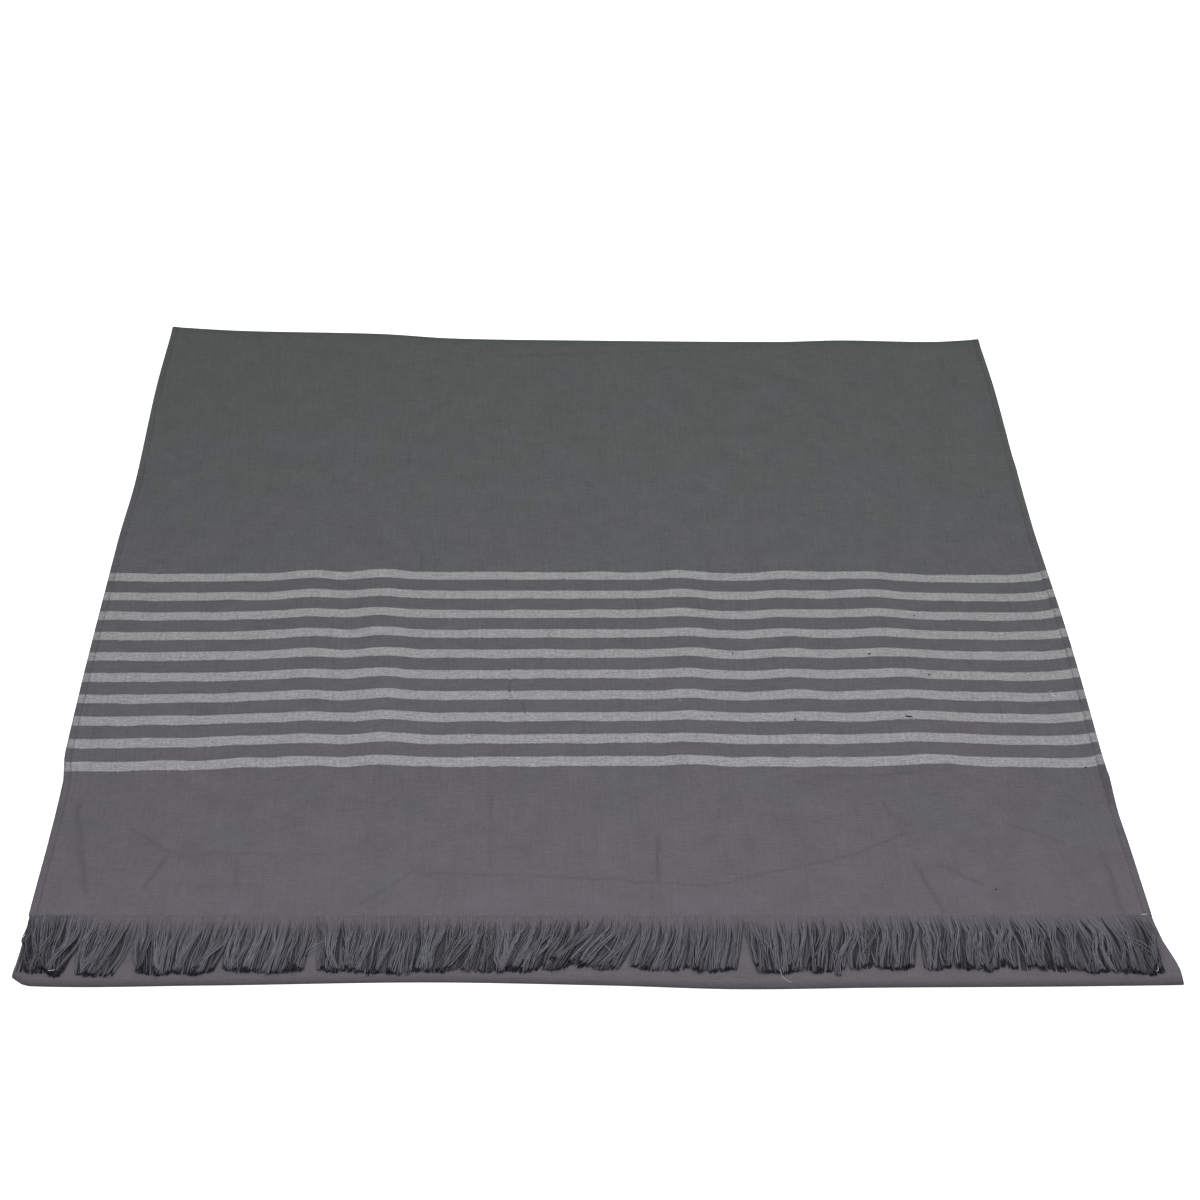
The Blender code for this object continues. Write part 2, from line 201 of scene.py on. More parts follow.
# The tufts of the upper fringe from left to right: where the roots of each end, where its tips lie, its
# length, how far its upper strands lean over the lower yarns, how late they do, how far they stray
# (tangle), how full it lies, how far its strands swing from side to side in millimetres, and how much
# darker than the others it is
UPPER_TUFTS = table(
    "root_end tip_start tip_end length lean late tangle full swing dark",
    (-0.466, -0.490, -0.463, 0.057, 0.000, 1.3, 2.8, 1.5, 1.2, 0.30),
    (-0.440, -0.464, -0.443, 0.061, -0.016, 1.9, 2.4, 1.1, 1.0, 0.16),
    (-0.395, -0.437, -0.396, 0.061, -0.020, 2.1, 1.6, 1.0, 0.5, -0.03),
    (-0.356, -0.386, -0.354, 0.059, -0.006, 2.2, 1.2, 1.3, 0.6, 0.00),
    (-0.310, -0.356, -0.312, 0.059, -0.017, 2.0, 1.3, 0.9, 0.6, -0.02),
    (-0.238, -0.313, -0.241, 0.057, -0.005, 1.8, 1.4, 1.1, 0.7, -0.03),
    (-0.202, -0.230, -0.204, 0.056, -0.004, 1.6, 1.8, 1.0, 1.1, 0.00),
    (-0.138, -0.205, -0.140, 0.058, -0.006, 2.0, 1.2, 0.9, 0.6, -0.02),
    (-0.092, -0.141, -0.106, 0.057, -0.006, 1.9, 1.8, 1.1, 1.0, -0.02),
    (-0.066, -0.101, -0.072, 0.057, -0.001, 1.6, 2.0, 1.4, 1.0, 0.03),
    (-0.019, -0.074, -0.033, 0.058, -0.009, 1.7, 2.2, 1.2, 1.6, 0.00),
    (0.012, -0.036, -0.012, 0.058, -0.008, 1.7, 2.0, 1.2, 1.5, 0.03),
    (0.048, -0.015, 0.034, 0.057, -0.006, 1.9, 1.3, 1.0, 1.1, -0.04),
    (0.094, 0.037, 0.090, 0.055, -0.006, 2.2, 1.2, 0.9, 0.9, -0.04),
    (0.138, 0.088, 0.130, 0.056, 0.001, 1.7, 0.9, 0.9, 1.0, -0.03),
    (0.195, 0.147, 0.187, 0.057, -0.003, 1.7, 1.1, 1.0, 1.2, -0.02),
    (0.234, 0.188, 0.221, 0.057, 0.000, 1.6, 2.2, 1.4, 1.4, 0.03),
    (0.257, 0.222, 0.248, 0.053, 0.006, 1.2, 2.6, 1.1, 1.6, -0.02),
    (0.291, 0.253, 0.283, 0.054, 0.000, 1.7, 1.4, 1.1, 1.2, -0.02),
    (0.321, 0.289, 0.313, 0.054, 0.003, 1.5, 1.7, 1.0, 1.6, 0.00),
    (0.367, 0.315, 0.362, 0.054, 0.003, 1.2, 1.8, 1.1, 2.0, 0.00),
    (0.386, 0.357, 0.388, 0.053, 0.008, 0.9, 2.8, 1.6, 3.0, 0.06),
    (0.418, 0.389, 0.422, 0.055, 0.009, 0.9, 2.8, 1.7, 3.2, 0.05),
    (0.454, 0.422, 0.459, 0.057, 0.006, 1.0, 2.4, 1.5, 2.4, 0.04),
    (0.498, 0.461, 0.497, 0.059, 0.006, 0.9, 2.4, 1.4, 1.6, 0.06),
)

# Loose yarns that lie across the fringe: x and the way down from the cloth's end at either end of each, its
# sideways bow, and the height of its arch
STRAYS = table(
    "x0 down0 x1 down1 bow height",
    (-0.2290, 0.026, -0.2440, 0.040, 0.001, 0.0030),
    (-0.2260, 0.022, -0.2420, 0.034, 0.002, 0.0036),
    (0.0080, 0.019, 0.0290, 0.044, -0.002, 0.0032),
    (0.1400, 0.006, 0.1560, 0.040, 0.003, 0.0032),
    (0.1430, 0.010, 0.1640, 0.042, 0.002, 0.0028),
    (0.2320, 0.012, 0.2480, 0.048, 0.004, 0.0034),
    (0.3630, 0.000, 0.3800, 0.050, 0.003, 0.0034),
    (0.4680, 0.022, 0.4900, 0.040, 0.003, 0.0036),
    (0.4700, 0.020, 0.4920, 0.036, 0.002, 0.0042),
    (-0.4880, 0.010, -0.4680, 0.050, -0.003, 0.0040),
    (-0.4650, 0.008, -0.4860, 0.052, 0.003, 0.0044),
)

# Lint, thread ends and neps: where, which way in degrees, how long and thick, how curved, and how pale,
# from 0 for a dark nep to 1
LINT = table(
    "x y turn length thickness curl tone",
    (0.4690, -0.1310, -50, 0.0070, 0.00040, 0.20, 1.0),
    (0.4660, -0.1260, 10, 0.0045, 0.00035, 0.10, 0.9),
    (0.4925, -0.3835, 4, 0.0060, 0.00060, 0.05, 1.0),
    (-0.4610, -0.4400, 8, 0.0060, 0.00060, 0.15, 1.0),
    (0.4890, -0.4390, 60, 0.0060, 0.00060, 0.60, 1.0),
    (0.1700, -0.4430, -58, 0.0160, 0.00045, 0.50, 0.8),
    (0.3670, -0.3580, 20, 0.0018, 0.00110, 0.00, 0.0),
    (0.3193, -0.1602, -12, 0.0072, 0.00150, 0.12, 0.0),
    (0.1546, -0.0768, 80, 0.0024, 0.00130, 0.00, 0.0),
    (0.2927, -0.0785, 0, 0.0022, 0.00140, 0.00, 0.0),
    (0.3470, -0.0248, 30, 0.0020, 0.00120, 0.00, 0.0),
    (0.3490, -0.1050, -40, 0.0030, 0.00120, 0.00, 0.0),
    (0.2083, -0.1634, 0, 0.0022, 0.00120, 0.00, 0.0),
    (0.4790, -0.2215, 20, 0.0020, 0.00140, 0.00, 0.0),
    (0.0974, -0.1387, -55, 0.0048, 0.00035, 0.10, 0.7),
    (-0.1300, -0.3700, 35, 0.0040, 0.00025, 0.30, 0.5),
    (0.2700, 0.2100, -20, 0.0050, 0.00025, 0.30, 0.4),
    (-0.3600, 0.1500, 70, 0.0045, 0.00025, 0.30, 0.4),
)


def metres(name, description, default):
    """A length that a user may change."""
    return FloatProperty(name=name, description=description, default=default, unit="LENGTH")


def amount(name, description, default):
    """A plain value that a user may change."""
    return FloatProperty(name=name, description=description, default=default)


def number(name, description, default):
    """A count that a user may change."""
    return IntProperty(name=name, description=description, default=default)


def colour(name, description, default):
    """A colour that a user may change."""
    look = {"subtype": "COLOR", "size": 4, "min": 0, "max": 1}
    return FloatVectorProperty(name=name, description=description, default=default, **look)


class TowelSizes(PropertyGroup):
    """Sizes of the towel and of the way it lies."""

    width: metres("Width", "Cloth width, edge to edge", 1.0)
    length: metres("Length", "Cloth length without its fringes", 1.8)
    thickness: metres("Thickness", "Cloth thickness", 1.2 * MM)
    hem_width: metres("Hem width", "Turned and stitched edge", 8 * MM)
    hem_thickness: metres("Hem thickness", "Thickness in the hems", 1.5 * MM)
    gap: metres("Gap", "Air between layers at the hems", 0.3 * MM)
    bulge: metres("Fold bulge", "Rise of a layer at its fold", 1.2 * MM)
    bulge_reach: metres("Bulge reach", "How far the rise reaches", 6 * MM)
    upper_end: metres("Upper end", "Y where the fringe begins", -0.385)
    far_fold: metres("Far fold", "Mean Y of the far fold", 0.442)
    near_fold: metres("Near fold", "Mean Y of the near fold", -0.452)
    roundness: amount("Roundness", "Length of a fold's curve for its height", 2.6)
    fall: metres("Fall", "Length over which a layer comes down", 0.045)
    columns: number("Columns", "Mesh columns between the hems", 158)
    near_rows: number("Near rows", "Mesh rows on the creased front of the upper half", 58)
    far_rows: number("Far rows", "Mesh rows on the rest of the upper half", 88)
    creased: metres("Creased front", "Length of the creased front", 0.165)


class StripeSizes(PropertyGroup):
    """Sizes of the woven stripes, measured along the cloth from its end."""

    count: number("Stripes", "Stripes at each end of the cloth", 10)
    first: metres("First", "From the end to the first stripe's middle", 0.1717)
    pitch: metres("Pitch", "From one stripe to the next", 27.39 * MM)
    width: metres("Width", "Width of a stripe", 11.3 * MM)
    yarn: metres("Yarn", "From one thread of the weave to the next", 0.5 * MM)


class FringeSizes(PropertyGroup):
    """Sizes of the fringe, its yarns and its strands, and of the hem stitches."""

    length: metres("Length", "Usual length of the fringe", 0.056)
    yarn: metres("Yarn", "Thickness of a loose yarn", 0.62 * MM)
    strand: metres("Strand", "Usual width of a strand at its root", 2.9 * MM)
    stand: metres("Stand", "Usual height of a strand's arch", 2.4 * MM)
    woven_in: metres("Woven in", "Length of yarn inside the cloth", 2.2 * MM)
    density: amount("Density", "Upper yarns in a metre of width", 2200.0)
    under_density: amount("Under density", "Yarns below in a metre of width", 900.0)
    hidden_density: amount("Hidden density", "The same, in the fringe below", 900.0)
    stitch: metres("Stitch", "Length of a hem stitch with its gap", 2.8 * MM)
    thread: metres("Thread", "Thickness of the sewing thread", 0.38 * MM)


class TowelColours(PropertyGroup):
    """Colours of the yarns and threads."""

    ground: colour("Ground", "Dark grey of the cloth", (0.104, 0.0995, 0.110, 1))
    # Blended in at random as heather, and more with distance from the cloth's ends as painted tint and shade
    # of the light on the far part
    ground_cool: colour("Ground, cooler", "The same where it looks cooler", (0.093, 0.099, 0.096, 1))
    pale: colour("Pale stripe", "Heathered pale weft of the stripes", (0.284, 0.285, 0.284, 1))
    loose: colour("Loose yarn", "Warp ends of the fringe", (0.093, 0.098, 0.107, 1))
    # Near-black for the cut ends and the painted shadow under the raised tips; the dark neps of the lint take
    # it too
    tip: colour("Yarn tip", "Cut ends of the warp", (0.009, 0.009, 0.010, 1))
    thread: colour("Thread", "Sewing thread of the hems", (0.085, 0.088, 0.092, 1))
    lint: colour("Lint", "Lint and pale thread ends", (0.62, 0.62, 0.62, 1))


class StageSizes(PropertyGroup):
    """Camera, lights and floor."""

    camera_height: metres("Camera height", "Height of the lens", 1.2286)
    camera_back: metres("Camera distance", "Lens in front of the middle", 1.1446)
    camera_side: metres("Camera offset", "Lens to the left of the middle", 0.040)
    camera_tilt: FloatProperty(
        name="Camera tilt", description="Downward pitch", default=math.radians(47), subtype="ANGLE"
    )
    lens: amount("Lens", "Focal length in millimetres on a 36 mm frame", 48.0)
    shift: amount("Shift", "Sideways shift of the frame", 0.0492)
    key: amount("Key light", "Power of the front softbox in watts", 24.2)
    back: amount("Back light", "Power of the back softbox in watts", 7.1)
    fill: amount("Fill light", "Strength of the light all round", 0.22)
    fill_tint: colour("Fill tint", "Tint of the light all round", (0.95, 1.0, 0.97, 1))
    floor_glow: amount("Floor glow", "Light from the floor itself", 0.80)
    floor_size: metres("Floor size", "Side of the floor", 60.0)
    floor: colour("Floor", "Pale floor", (0.9, 0.9, 0.9, 1))


def ease(share):
    """Runs smoothly from 0 to 1 as share does."""
    held = np.clip(share, 0, 1)
    return held * held * (3 - 2 * held)


def through(knots, at):
    """The values at `at` on a smooth curve through (position, value) knots in rising order."""
    places, values = np.array(knots).T
    at = np.clip(at, places[0], places[-1])
    low = np.clip(np.searchsorted(places, at, side="right") - 1, 0, len(places) - 2)
    before, after = np.maximum(low - 1, 0), np.minimum(low + 2, len(places) - 1)
    span = places[low + 1] - places[low]
    slope0 = (values[low + 1] - values[before]) / (places[low + 1] - places[before]) * span
    slope1 = (values[after] - values[low]) / (places[after] - places[low]) * span
    t = (at - places[low]) / span
    start = values[low] * (1 + 2 * t) + slope0 * t
    end = values[low + 1] * (3 - 2 * t) - slope1 * (1 - t)
    return start * (1 - t) ** 2 + end * t * t


def crest_height(crests, x, y):
    """The height over the flat of straight, rounded crests, where the highest one counts."""
    height = np.zeros(np.broadcast(x, y).shape)
    for x0, y0, x1, y1, rise, spread in crests:
        along = np.array((x1 - x0, y1 - y0))
        share = np.clip(((x - x0) * along[0] + (y - y0) * along[1]) / (along @ along), 0, 1)
        away = np.hypot(x - x0 - share * along[0], y - y0 - share * along[1])
        height = np.maximum(height, rise * np.exp(-((away / spread) ** 2)))
    return height


def drift(x, y, size, seed):
    """A soft, uneven field from 0 to 1 whose swells are about `size` across."""
    chance = np.random.default_rng(seed)
    total = np.zeros(np.broadcast(x, y).shape)
    for _ in range(12):
        turn, phase = chance.uniform(0, 2 * math.pi, 2)
        wave = 2 * math.pi / (size * chance.uniform(0.7, 1.6))
        total += np.sin(wave * (x * math.cos(turn) + y * math.sin(turn)) + phase)
    return 0.5 + 0.5 * np.tanh(total / 3.4)


def joined(*parts):
    """Arrays of values side by side, as the last axis of one array."""
    return np.stack(np.broadcast_arrays(*parts), axis=-1)


def spaced(start, end, steps):
    """Evenly spaced values from start up to, but not including, end."""
    return list(start + (end - start) * np.arange(steps) / steps)


class Lie:
    """How the towel lies: the sides, folds and heights of its layers."""

    # From the tips of the hidden fringe to where the lower half begins to come down
    CLEAR_OF_TIPS = 0.006
    # The stretches over which ridges and creases die away towards the far fold and towards the fringe
    CALM_AT_FOLD, CALM_AT_END = 0.060, 0.020
    # The rise of a crease of sharpness 1, and the spread of one of no width
    CREASE_RISE, CREASE_SPREAD = 0.9 * MM, 4 * MM
    TURN_STEPS = 12

    def __init__(self, cloth, fringe_length):
        self.cloth = cloth
        self.pitch = cloth.hem_thickness + cloth.gap
        self.radius = (self.pitch + cloth.bulge) / 2
        self.reach = self.radius * cloth.roundness
        self.outside = self.reach + cloth.thickness / 2
        self.upper = cloth.far_fold - self.outside - cloth.upper_end
        self.lower = cloth.far_fold - cloth.near_fold - 2 * self.outside
        turn = math.pi * ((self.radius**2 + self.reach**2) / 2) ** 0.5
        self.tuck = cloth.length - self.upper - self.lower - 2 * turn
        self.tuck_end = cloth.near_fold + self.outside + self.tuck
        self.fall_start = self.tuck_end + fringe_length + self.CLEAR_OF_TIPS

    def swell(self, distance):
        return self.cloth.bulge * np.exp(-((distance / self.cloth.bulge_reach) ** 2))

    def lower_underside(self, x, y):
        """On the tuck and its fringe in front, on the floor behind."""
        on_tuck = self.pitch * (1 - ease((y - self.fall_start) / self.cloth.fall))
        return on_tuck + self.swell(y - through(NEAR_FOLD, x) - self.outside)

    def lower_top(self, x, y):
        return self.lower_underside(x, y) + self.cloth.thickness

    def upper_underside(self, x, y):
        """A layer above the lower half, with its ridges and creases and a slight unevenness."""
        lying = self.pitch * (2 - ease((y - self.fall_start) / self.cloth.fall))
        fold = through(FAR_FOLD, x) - self.outside
        calm = ease((fold - y) / self.CALM_AT_FOLD) * ease((y - self.cloth.upper_end) / self.CALM_AT_END)
        folds = []
        for crease in CREASES:
            folds.append((*crease[:4], self.CREASE_RISE * crease.sharp, self.CREASE_SPREAD + crease.width))
        relief = crest_height(RIDGES, x, y) + crest_height(folds, x, y)
        relief += 0.35 * MM * drift(x, y, size=0.110, seed=21) + 0.12 * MM * drift(x, y, size=0.034, seed=22)
        return lying + self.swell(fold - y) + calm * relief

    def across(self, share, left, right, y):
        return through(left, y) + share * (through(right, y) - through(left, y))

    def upper_rows(self, stations, shares):
        """Points of the layer's underside, one row a station, from the fringe to the far fold."""
        t, share = np.meshgrid(stations, shares, indexing="ij")
        x = self.across(share, UPPER_LEFT, UPPER_RIGHT, self.cloth.upper_end + t * self.upper)
        y = self.cloth.upper_end + t * (through(FAR_FOLD, x) - self.outside - self.cloth.upper_end)
        x = self.across(share, UPPER_LEFT, UPPER_RIGHT, y)
        return joined(x, y, self.upper_underside(x, y))

    def lower_rows(self, stations, shares):
        """The same, from the far fold to the near fold."""
        t, share = np.meshgrid(stations, shares, indexing="ij")
        x = self.across(share, LOWER_LEFT, LOWER_RIGHT, self.cloth.far_fold - t * self.lower)
        start, end = through(FAR_FOLD, x) - self.outside, through(NEAR_FOLD, x) + self.outside
        y = start + t * (end - start)
        x = self.across(share, LOWER_LEFT, LOWER_RIGHT, y)
        return joined(x, y, self.lower_underside(x, y))

    def tuck_rows(self, stations, shares, near):
        """The same, from the near fold to the hidden end."""
        t = np.array(stations)[:, None]
        end_x = self.across(np.array(shares), LOWER_LEFT, LOWER_RIGHT, self.tuck_end)
        x = near[:, 0] + t * (end_x - near[:, 0])
        y = near[:, 1] + t * (self.tuck_end - near[:, 1])
        return joined(x, y, 0.0)

    def turn_rows(self, start, end, outward):
        """The half oval by which the sheet turns from row start to row end."""
        angle = math.pi * np.arange(1, self.TURN_STEPS)[:, None, None] / self.TURN_STEPS
        swing = (1 - np.cos(angle)) / 2
        turned = start + (end - start) * swing
        turned[:, :, 1] += outward * self.reach * np.sin(angle)[:, :, 0]
        return turned


class Sheet:
    """The folded cloth as rows of points, with its thickness on either side and its flat coordinates."""

    # Across a hem in millimetres: the stations, and the outer face's rise over the plain hem at each
    HEM_STATIONS = (0.0, 0.35, 1.0, 2.4, 4.0, 5.4, 6.1, 6.6, 7.1, 7.7, 8.0, 8.35, 10.0)
    HEM_RISES = (-0.75, -0.25, 0.0, 0.03, 0.03, 0.0, -0.10, -0.30, -0.10, 0.0, -0.04, -0.3, -0.3)
    # How many stations lie in a hem, and the one that is stitched
    IN_HEM, STITCHED = 10, 7
    INNER_ROUNDING = (0.35, 0.12)
    # How far the weft of the turned hems sits aside from the cloth's own, on the left and on the right
    HEM_SHIFTS = (0.3 * MM, -0.9 * MM)
    # The first stations of the upper half as shares of its length, the share where even steps begin, and
    # the share of the full thickness at the first and last rows of the cloth
    END_STATIONS, EVEN_FROM = (0.0, 0.0012, 0.0026, 0.0045), 0.008
    END_THICKNESS = (0.35, 0.62, 0.85, 0.96)
    # Rows of the upper half's swell, of the lower half's four stretches from the far fold, and of the tuck
    SWELL_ROWS, LOWER_ROWS, TUCK_ROWS = 8, (18, 8, 16, 10), 9
    FIRST_STEP, SWELL_REACHES = 0.006, 2.5
    # Y of the stripe nearest the fringe, and from there to the stripe nearest the far fold
    NEAREST_STRIPE, STRIPES_DEPTH = -0.213, 0.246
    # How far the painted shade on the rounding of a fold reaches
    FOLD_SHADE_REACH = 5 * MM
    MAP_MARGIN = 0.012

    def __init__(self, cloth, fringe):
        self.lie = Lie(cloth, fringe.length)
        self.cloth = cloth
        self.stations_across()
        self.lay_rows()
        self.normals_of_rows()
        self.flat_coordinates()

    def stations_across(self):
        """Columns, close together in the hems, with how far each face is from the middle line."""
        cloth, edge, rise = self.cloth, np.array(self.HEM_STATIONS) * MM, np.array(self.HEM_RISES) * MM
        inner = edge[-1] + (cloth.width - 2 * edge[-1]) * np.arange(1, cloth.columns) / cloth.columns
        self.shares = np.concatenate((edge, inner, cloth.width - edge[::-1])) / cloth.width
        rises = np.concatenate((rise, np.full(len(inner), rise[-1]), rise[::-1]))
        self.outer = cloth.hem_thickness - cloth.thickness / 2 + rises
        self.inner = np.full(len(self.shares), cloth.thickness / 2)
        for column, thin in enumerate(self.INNER_ROUNDING):
            self.inner[[column, -1 - column]] -= thin * MM
        self.stitched = (self.STITCHED, len(self.shares) - 1 - self.STITCHED)

    def lay_rows(self):
        """Rows along the whole path of the cloth, as the middle between its faces."""
        lie, cloth = self.lie, self.cloth
        start, end = cloth.far_fold - lie.outside, cloth.near_fold + lie.outside
        swollen = self.SWELL_REACHES * cloth.bulge_reach
        bulge, creased = 1 - swollen / lie.upper, cloth.creased / lie.upper
        upper = [*self.END_STATIONS, *spaced(self.EVEN_FROM, creased, cloth.near_rows)]
        upper += [*spaced(creased, bulge, cloth.far_rows), *spaced(bulge, 1, self.SWELL_ROWS), 1.0]
        stages = (start - self.FIRST_STEP, lie.fall_start + cloth.fall, lie.fall_start, end + swollen, end)
        lower = [start]
        for first, last, steps in zip(stages, stages[1:], self.LOWER_ROWS):
            lower += spaced(first, last, steps)
        lower.append(end)
        above = lie.upper_rows(upper, self.shares)
        below = lie.lower_rows([(start - y) / lie.lower for y in lower], self.shares)
        tuck = lie.tuck_rows([*spaced(0, 1, self.TUCK_ROWS), 1.0], self.shares, below[-1])
        above[:, :, 2] += self.inner.max()
        below[:, :, 2] += self.outer
        tuck[:, :, 2] += self.inner.max()
        far = lie.turn_rows(above[-1], below[0], 1)
        near = lie.turn_rows(below[-1], tuck[0], -1)
        self.points = np.concatenate((above, far, below, near, tuck))
        self.above = len(above)

    def normals_of_rows(self):
        """The outward direction of the outer face at each point, and how thin the cloth is at its ends."""
        across = np.gradient(self.points, axis=1)
        along = np.gradient(self.points, axis=0)
        normal = np.cross(across, along)
        self.normals = normal / np.linalg.norm(normal, axis=2, keepdims=True)
        self.thin = np.ones(len(self.points))
        rows = len(self.END_THICKNESS)
        self.thin[:rows] = self.thin[: -rows - 1 : -1] = self.END_THICKNESS

    def flat_coordinates(self):
        """Where each point is on the flat cloth: across from the middle, and along from the upper end."""
        above, length = self.above, self.cloth.length
        x, y = self.points[:above, :, 0], self.points[:above, :, 1]
        knots = np.array(BOWS)
        bow_far, bow_near = through(knots[:, (0, 1)], x), through(knots[:, (0, 2)], x)
        share = np.clip((y - self.NEAREST_STRIPE) / self.STRIPES_DEPTH, -0.2, 1.2)
        uneven = 0.9 * MM * (drift(x, y, size=0.05, seed=31) - 0.5)
        bow = bow_near + share * (bow_far - bow_near) + uneven
        self.along = np.zeros(self.points.shape[:2])
        self.along[:above] = y - self.cloth.upper_end - bow
        steps = np.linalg.norm(np.diff(self.points, axis=0), axis=2)
        steps = np.concatenate((np.zeros((1, steps.shape[1])), steps)).cumsum(axis=0)
        rest, reached = steps[above - 1 :] - steps[above - 1], self.along[above - 1].copy()
        self.along[above - 1 :] = reached + rest / rest[-1] * (length - reached)
        self.across = (self.shares - 0.5) * self.cloth.width

    def nearness(self):
        """How near each point is to one of the folds, from 0 to 1, which sets the painted shade on their
        rounding.
        """
        x, y = self.points[:, :, 0], self.points[:, :, 1]
        folds = (NEAR_FOLD, FAR_FOLD)
        return sum(np.exp(-(((y - through(fold, x)) / self.FOLD_SHADE_REACH) ** 2)) for fold in folds)

    def face(self, outer):
        """The points of one face of the cloth."""
        away = self.outer if outer else -self.inner
        return self.points + self.normals * (away * self.thin[:, None])[:, :, None]


def grid_faces(rows, columns, first=0, flip=False):
    """Quads between the points of a grid, as an array of four indices each."""
    at = first + np.arange(rows * columns).reshape(rows, columns)
    quads = joined(at[:-1, :-1], at[:-1, 1:], at[1:, 1:], at[1:, :-1]).reshape(-1, 4)
    return quads[:, ::-1] if flip else quads


def make_mesh(name, points, faces, layers, places):
    """A smooth mesh with its named layers of one vector a point, and its map of one place a corner."""
    mesh = bpy.data.meshes.new(name)
    mesh.from_pydata(points.reshape(-1, 3), [], faces.tolist())
    mesh.shade_smooth()
    for layer, values in layers.items():
        made = mesh.attributes.new(layer, "FLOAT_VECTOR", "POINT")
        made.data.foreach_set("vector", np.ascontiguousarray(values, dtype=np.float32).ravel())
    made = mesh.uv_layers.new(name="OFBake")
    made.uv.foreach_set("vector", np.ascontiguousarray(places, dtype=np.float32).ravel())
    obj = bpy.data.objects.new(name, mesh)
    bpy.context.scene.collection.objects.link(obj)
    return obj


def finish_piece(obj, material, slot, *nodes):
    """Gives a piece its material and its body, and hides the solids that it stands for. The slot is not used.
    """
    obj.data.materials.append(material)
    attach(obj, "root")
    if nodes:
        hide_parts(*nodes)


def make_cloth(cloth, fringe, material):
    """The folded cloth: two faces, and a wall round its edges."""
    sheet = Sheet(cloth, fringe)
    rows, columns = sheet.along.shape
    count = rows * columns
    points = np.concatenate([sheet.face(outer).reshape(-1, 3) for outer in (True, False)])
    at = np.arange(count).reshape(rows, columns)
    rim = np.concatenate((at[0, :-1], at[:-1, -1], at[-1, :0:-1], at[:0:-1, 0]))
    walls = joined(rim, rim + count, np.roll(rim, -1) + count, np.roll(rim, -1))
    outer, inner = grid_faces(rows, columns), grid_faces(rows, columns, count, True)
    faces = np.concatenate((outer, inner, walls))
    shift = np.zeros(columns)
    shift[: sheet.IN_HEM], shift[-sheet.IN_HEM :] = sheet.HEM_SHIFTS
    # Nearness to the folds goes into the flat layer for the painted shade on their rounding
    folded = sheet.nearness()
    outside = joined(sheet.across, sheet.along + shift, 1.0 + folded)
    inside = joined(sheet.across, sheet.along, -folded)
    flats = np.concatenate((outside.reshape(-1, 3), inside.reshape(-1, 3)))
    margin = sheet.MAP_MARGIN
    lengthwise = margin + (1 - 2 * margin) * sheet.along / cloth.length
    mapped = joined(margin + (0.5 - 2 * margin) * sheet.shares, lengthwise).reshape(-1, 2)
    places = np.concatenate((mapped, mapped + (0.5, 0)))[faces]
    wall = places[len(outer) + len(inner) :]
    wall[:, (1, 2)] = wall[:, (0, 3)] + (wall[:, (0, 3)] - (0.25, 0.5)) * margin
    obj = make_mesh("towel_cloth", points, faces, {"flat": flats}, places)
    finish_piece(obj, material, "woven_cotton", "cloth")
    return sheet


def make_yarns(name, paths, radii, tones):
    """Closed yarns in one mesh: paths is yarns by points by 3, radii is yarns by points, tones is yarns."""
    yarns, steps = paths.shape[:2]
    along = np.gradient(paths, axis=1)
    along /= np.linalg.norm(along, axis=2, keepdims=True)
    beside = np.cross(along, (0.0, 0.0, 1.0))
    beside /= np.maximum(np.linalg.norm(beside, axis=2, keepdims=True), 1e-9)
    over = np.cross(beside, along)
    angle = 2 * math.pi * (np.arange(YARN_SIDES) + 0.5) / YARN_SIDES
    ring = beside[:, :, None] * np.cos(angle)[:, None] + over[:, :, None] * np.sin(angle)[:, None]
    points = paths[:, :, None] + ring * radii[:, :, None, None]
    at = np.arange(yarns * steps * YARN_SIDES).reshape(yarns, steps, YARN_SIDES)
    beyond = np.roll(at, -1, axis=2)
    tubes = joined(at[:, :-1], beyond[:, :-1], beyond[:, 1:], at[:, 1:]).reshape(-1, 4)
    faces = np.concatenate((tubes, at[:, 0, ::-1], at[:, -1]))
    layer = np.repeat(joined(tones[:, None], np.linspace(0, 1, steps), paths[:, :1, 0]), YARN_SIDES, axis=1)
    wide = math.ceil(math.sqrt(yarns))
    cell = joined(np.arange(yarns) % wide, np.arange(yarns) // wide) / wide
    corners = np.array(((0, 0), (1, 0), (1, 1), (0, 1)))
    grid = joined(*np.meshgrid(np.arange(steps - 1), np.arange(YARN_SIDES), indexing="ij")[::-1])
    # In its cell of the bake map a yarn's tube fills the middle, and its cut ends a small square below that
    margin, cap_margin, cap_side = 0.1, 0.04, 0.02
    inside = (grid[:, :, None] + corners) / (YARN_SIDES, steps - 1) * (1 - 2 * margin) + margin
    tube_places = (cell[:, None, None, None] + inside / wide).reshape(-1, 4, 2)
    cap_places = (cell[:, None] + (cap_margin + cap_side * corners) / wide).reshape(-1, 4, 2)
    places = np.concatenate((tube_places, cap_places, cap_places))
    return make_mesh(name, points, faces, {"yarn": layer}, places)


def lay_down(lie, fringe, x, t, length, side, lift, sunk=0.0):
    """Yarn paths with these sideways places, from inside the cloth's end down to rest on the layer below."""
    from_side, below_face, clear = 0.4 * MM, 0.34 * MM, 0.1 * MM
    shortest, landed = 0.8, 0.24
    down = np.maximum(np.sqrt(np.maximum(length**2 - side**2, 0)), shortest * length)
    y = lie.cloth.upper_end + fringe.woven_in - (down + fringe.woven_in) * t
    x = np.clip(x, through(LOWER_LEFT, y) + from_side, through(LOWER_RIGHT, y) - from_side)
    rest = lie.lower_top(x, y) + fringe.yarn / 2 + clear + lift
    face = lie.upper_underside(x, np.maximum(y, lie.cloth.upper_end)) + lie.cloth.thickness
    held = ease(t / landed)
    return joined(x, y, (face - below_face - sunk) * (1 - held) + rest * held)


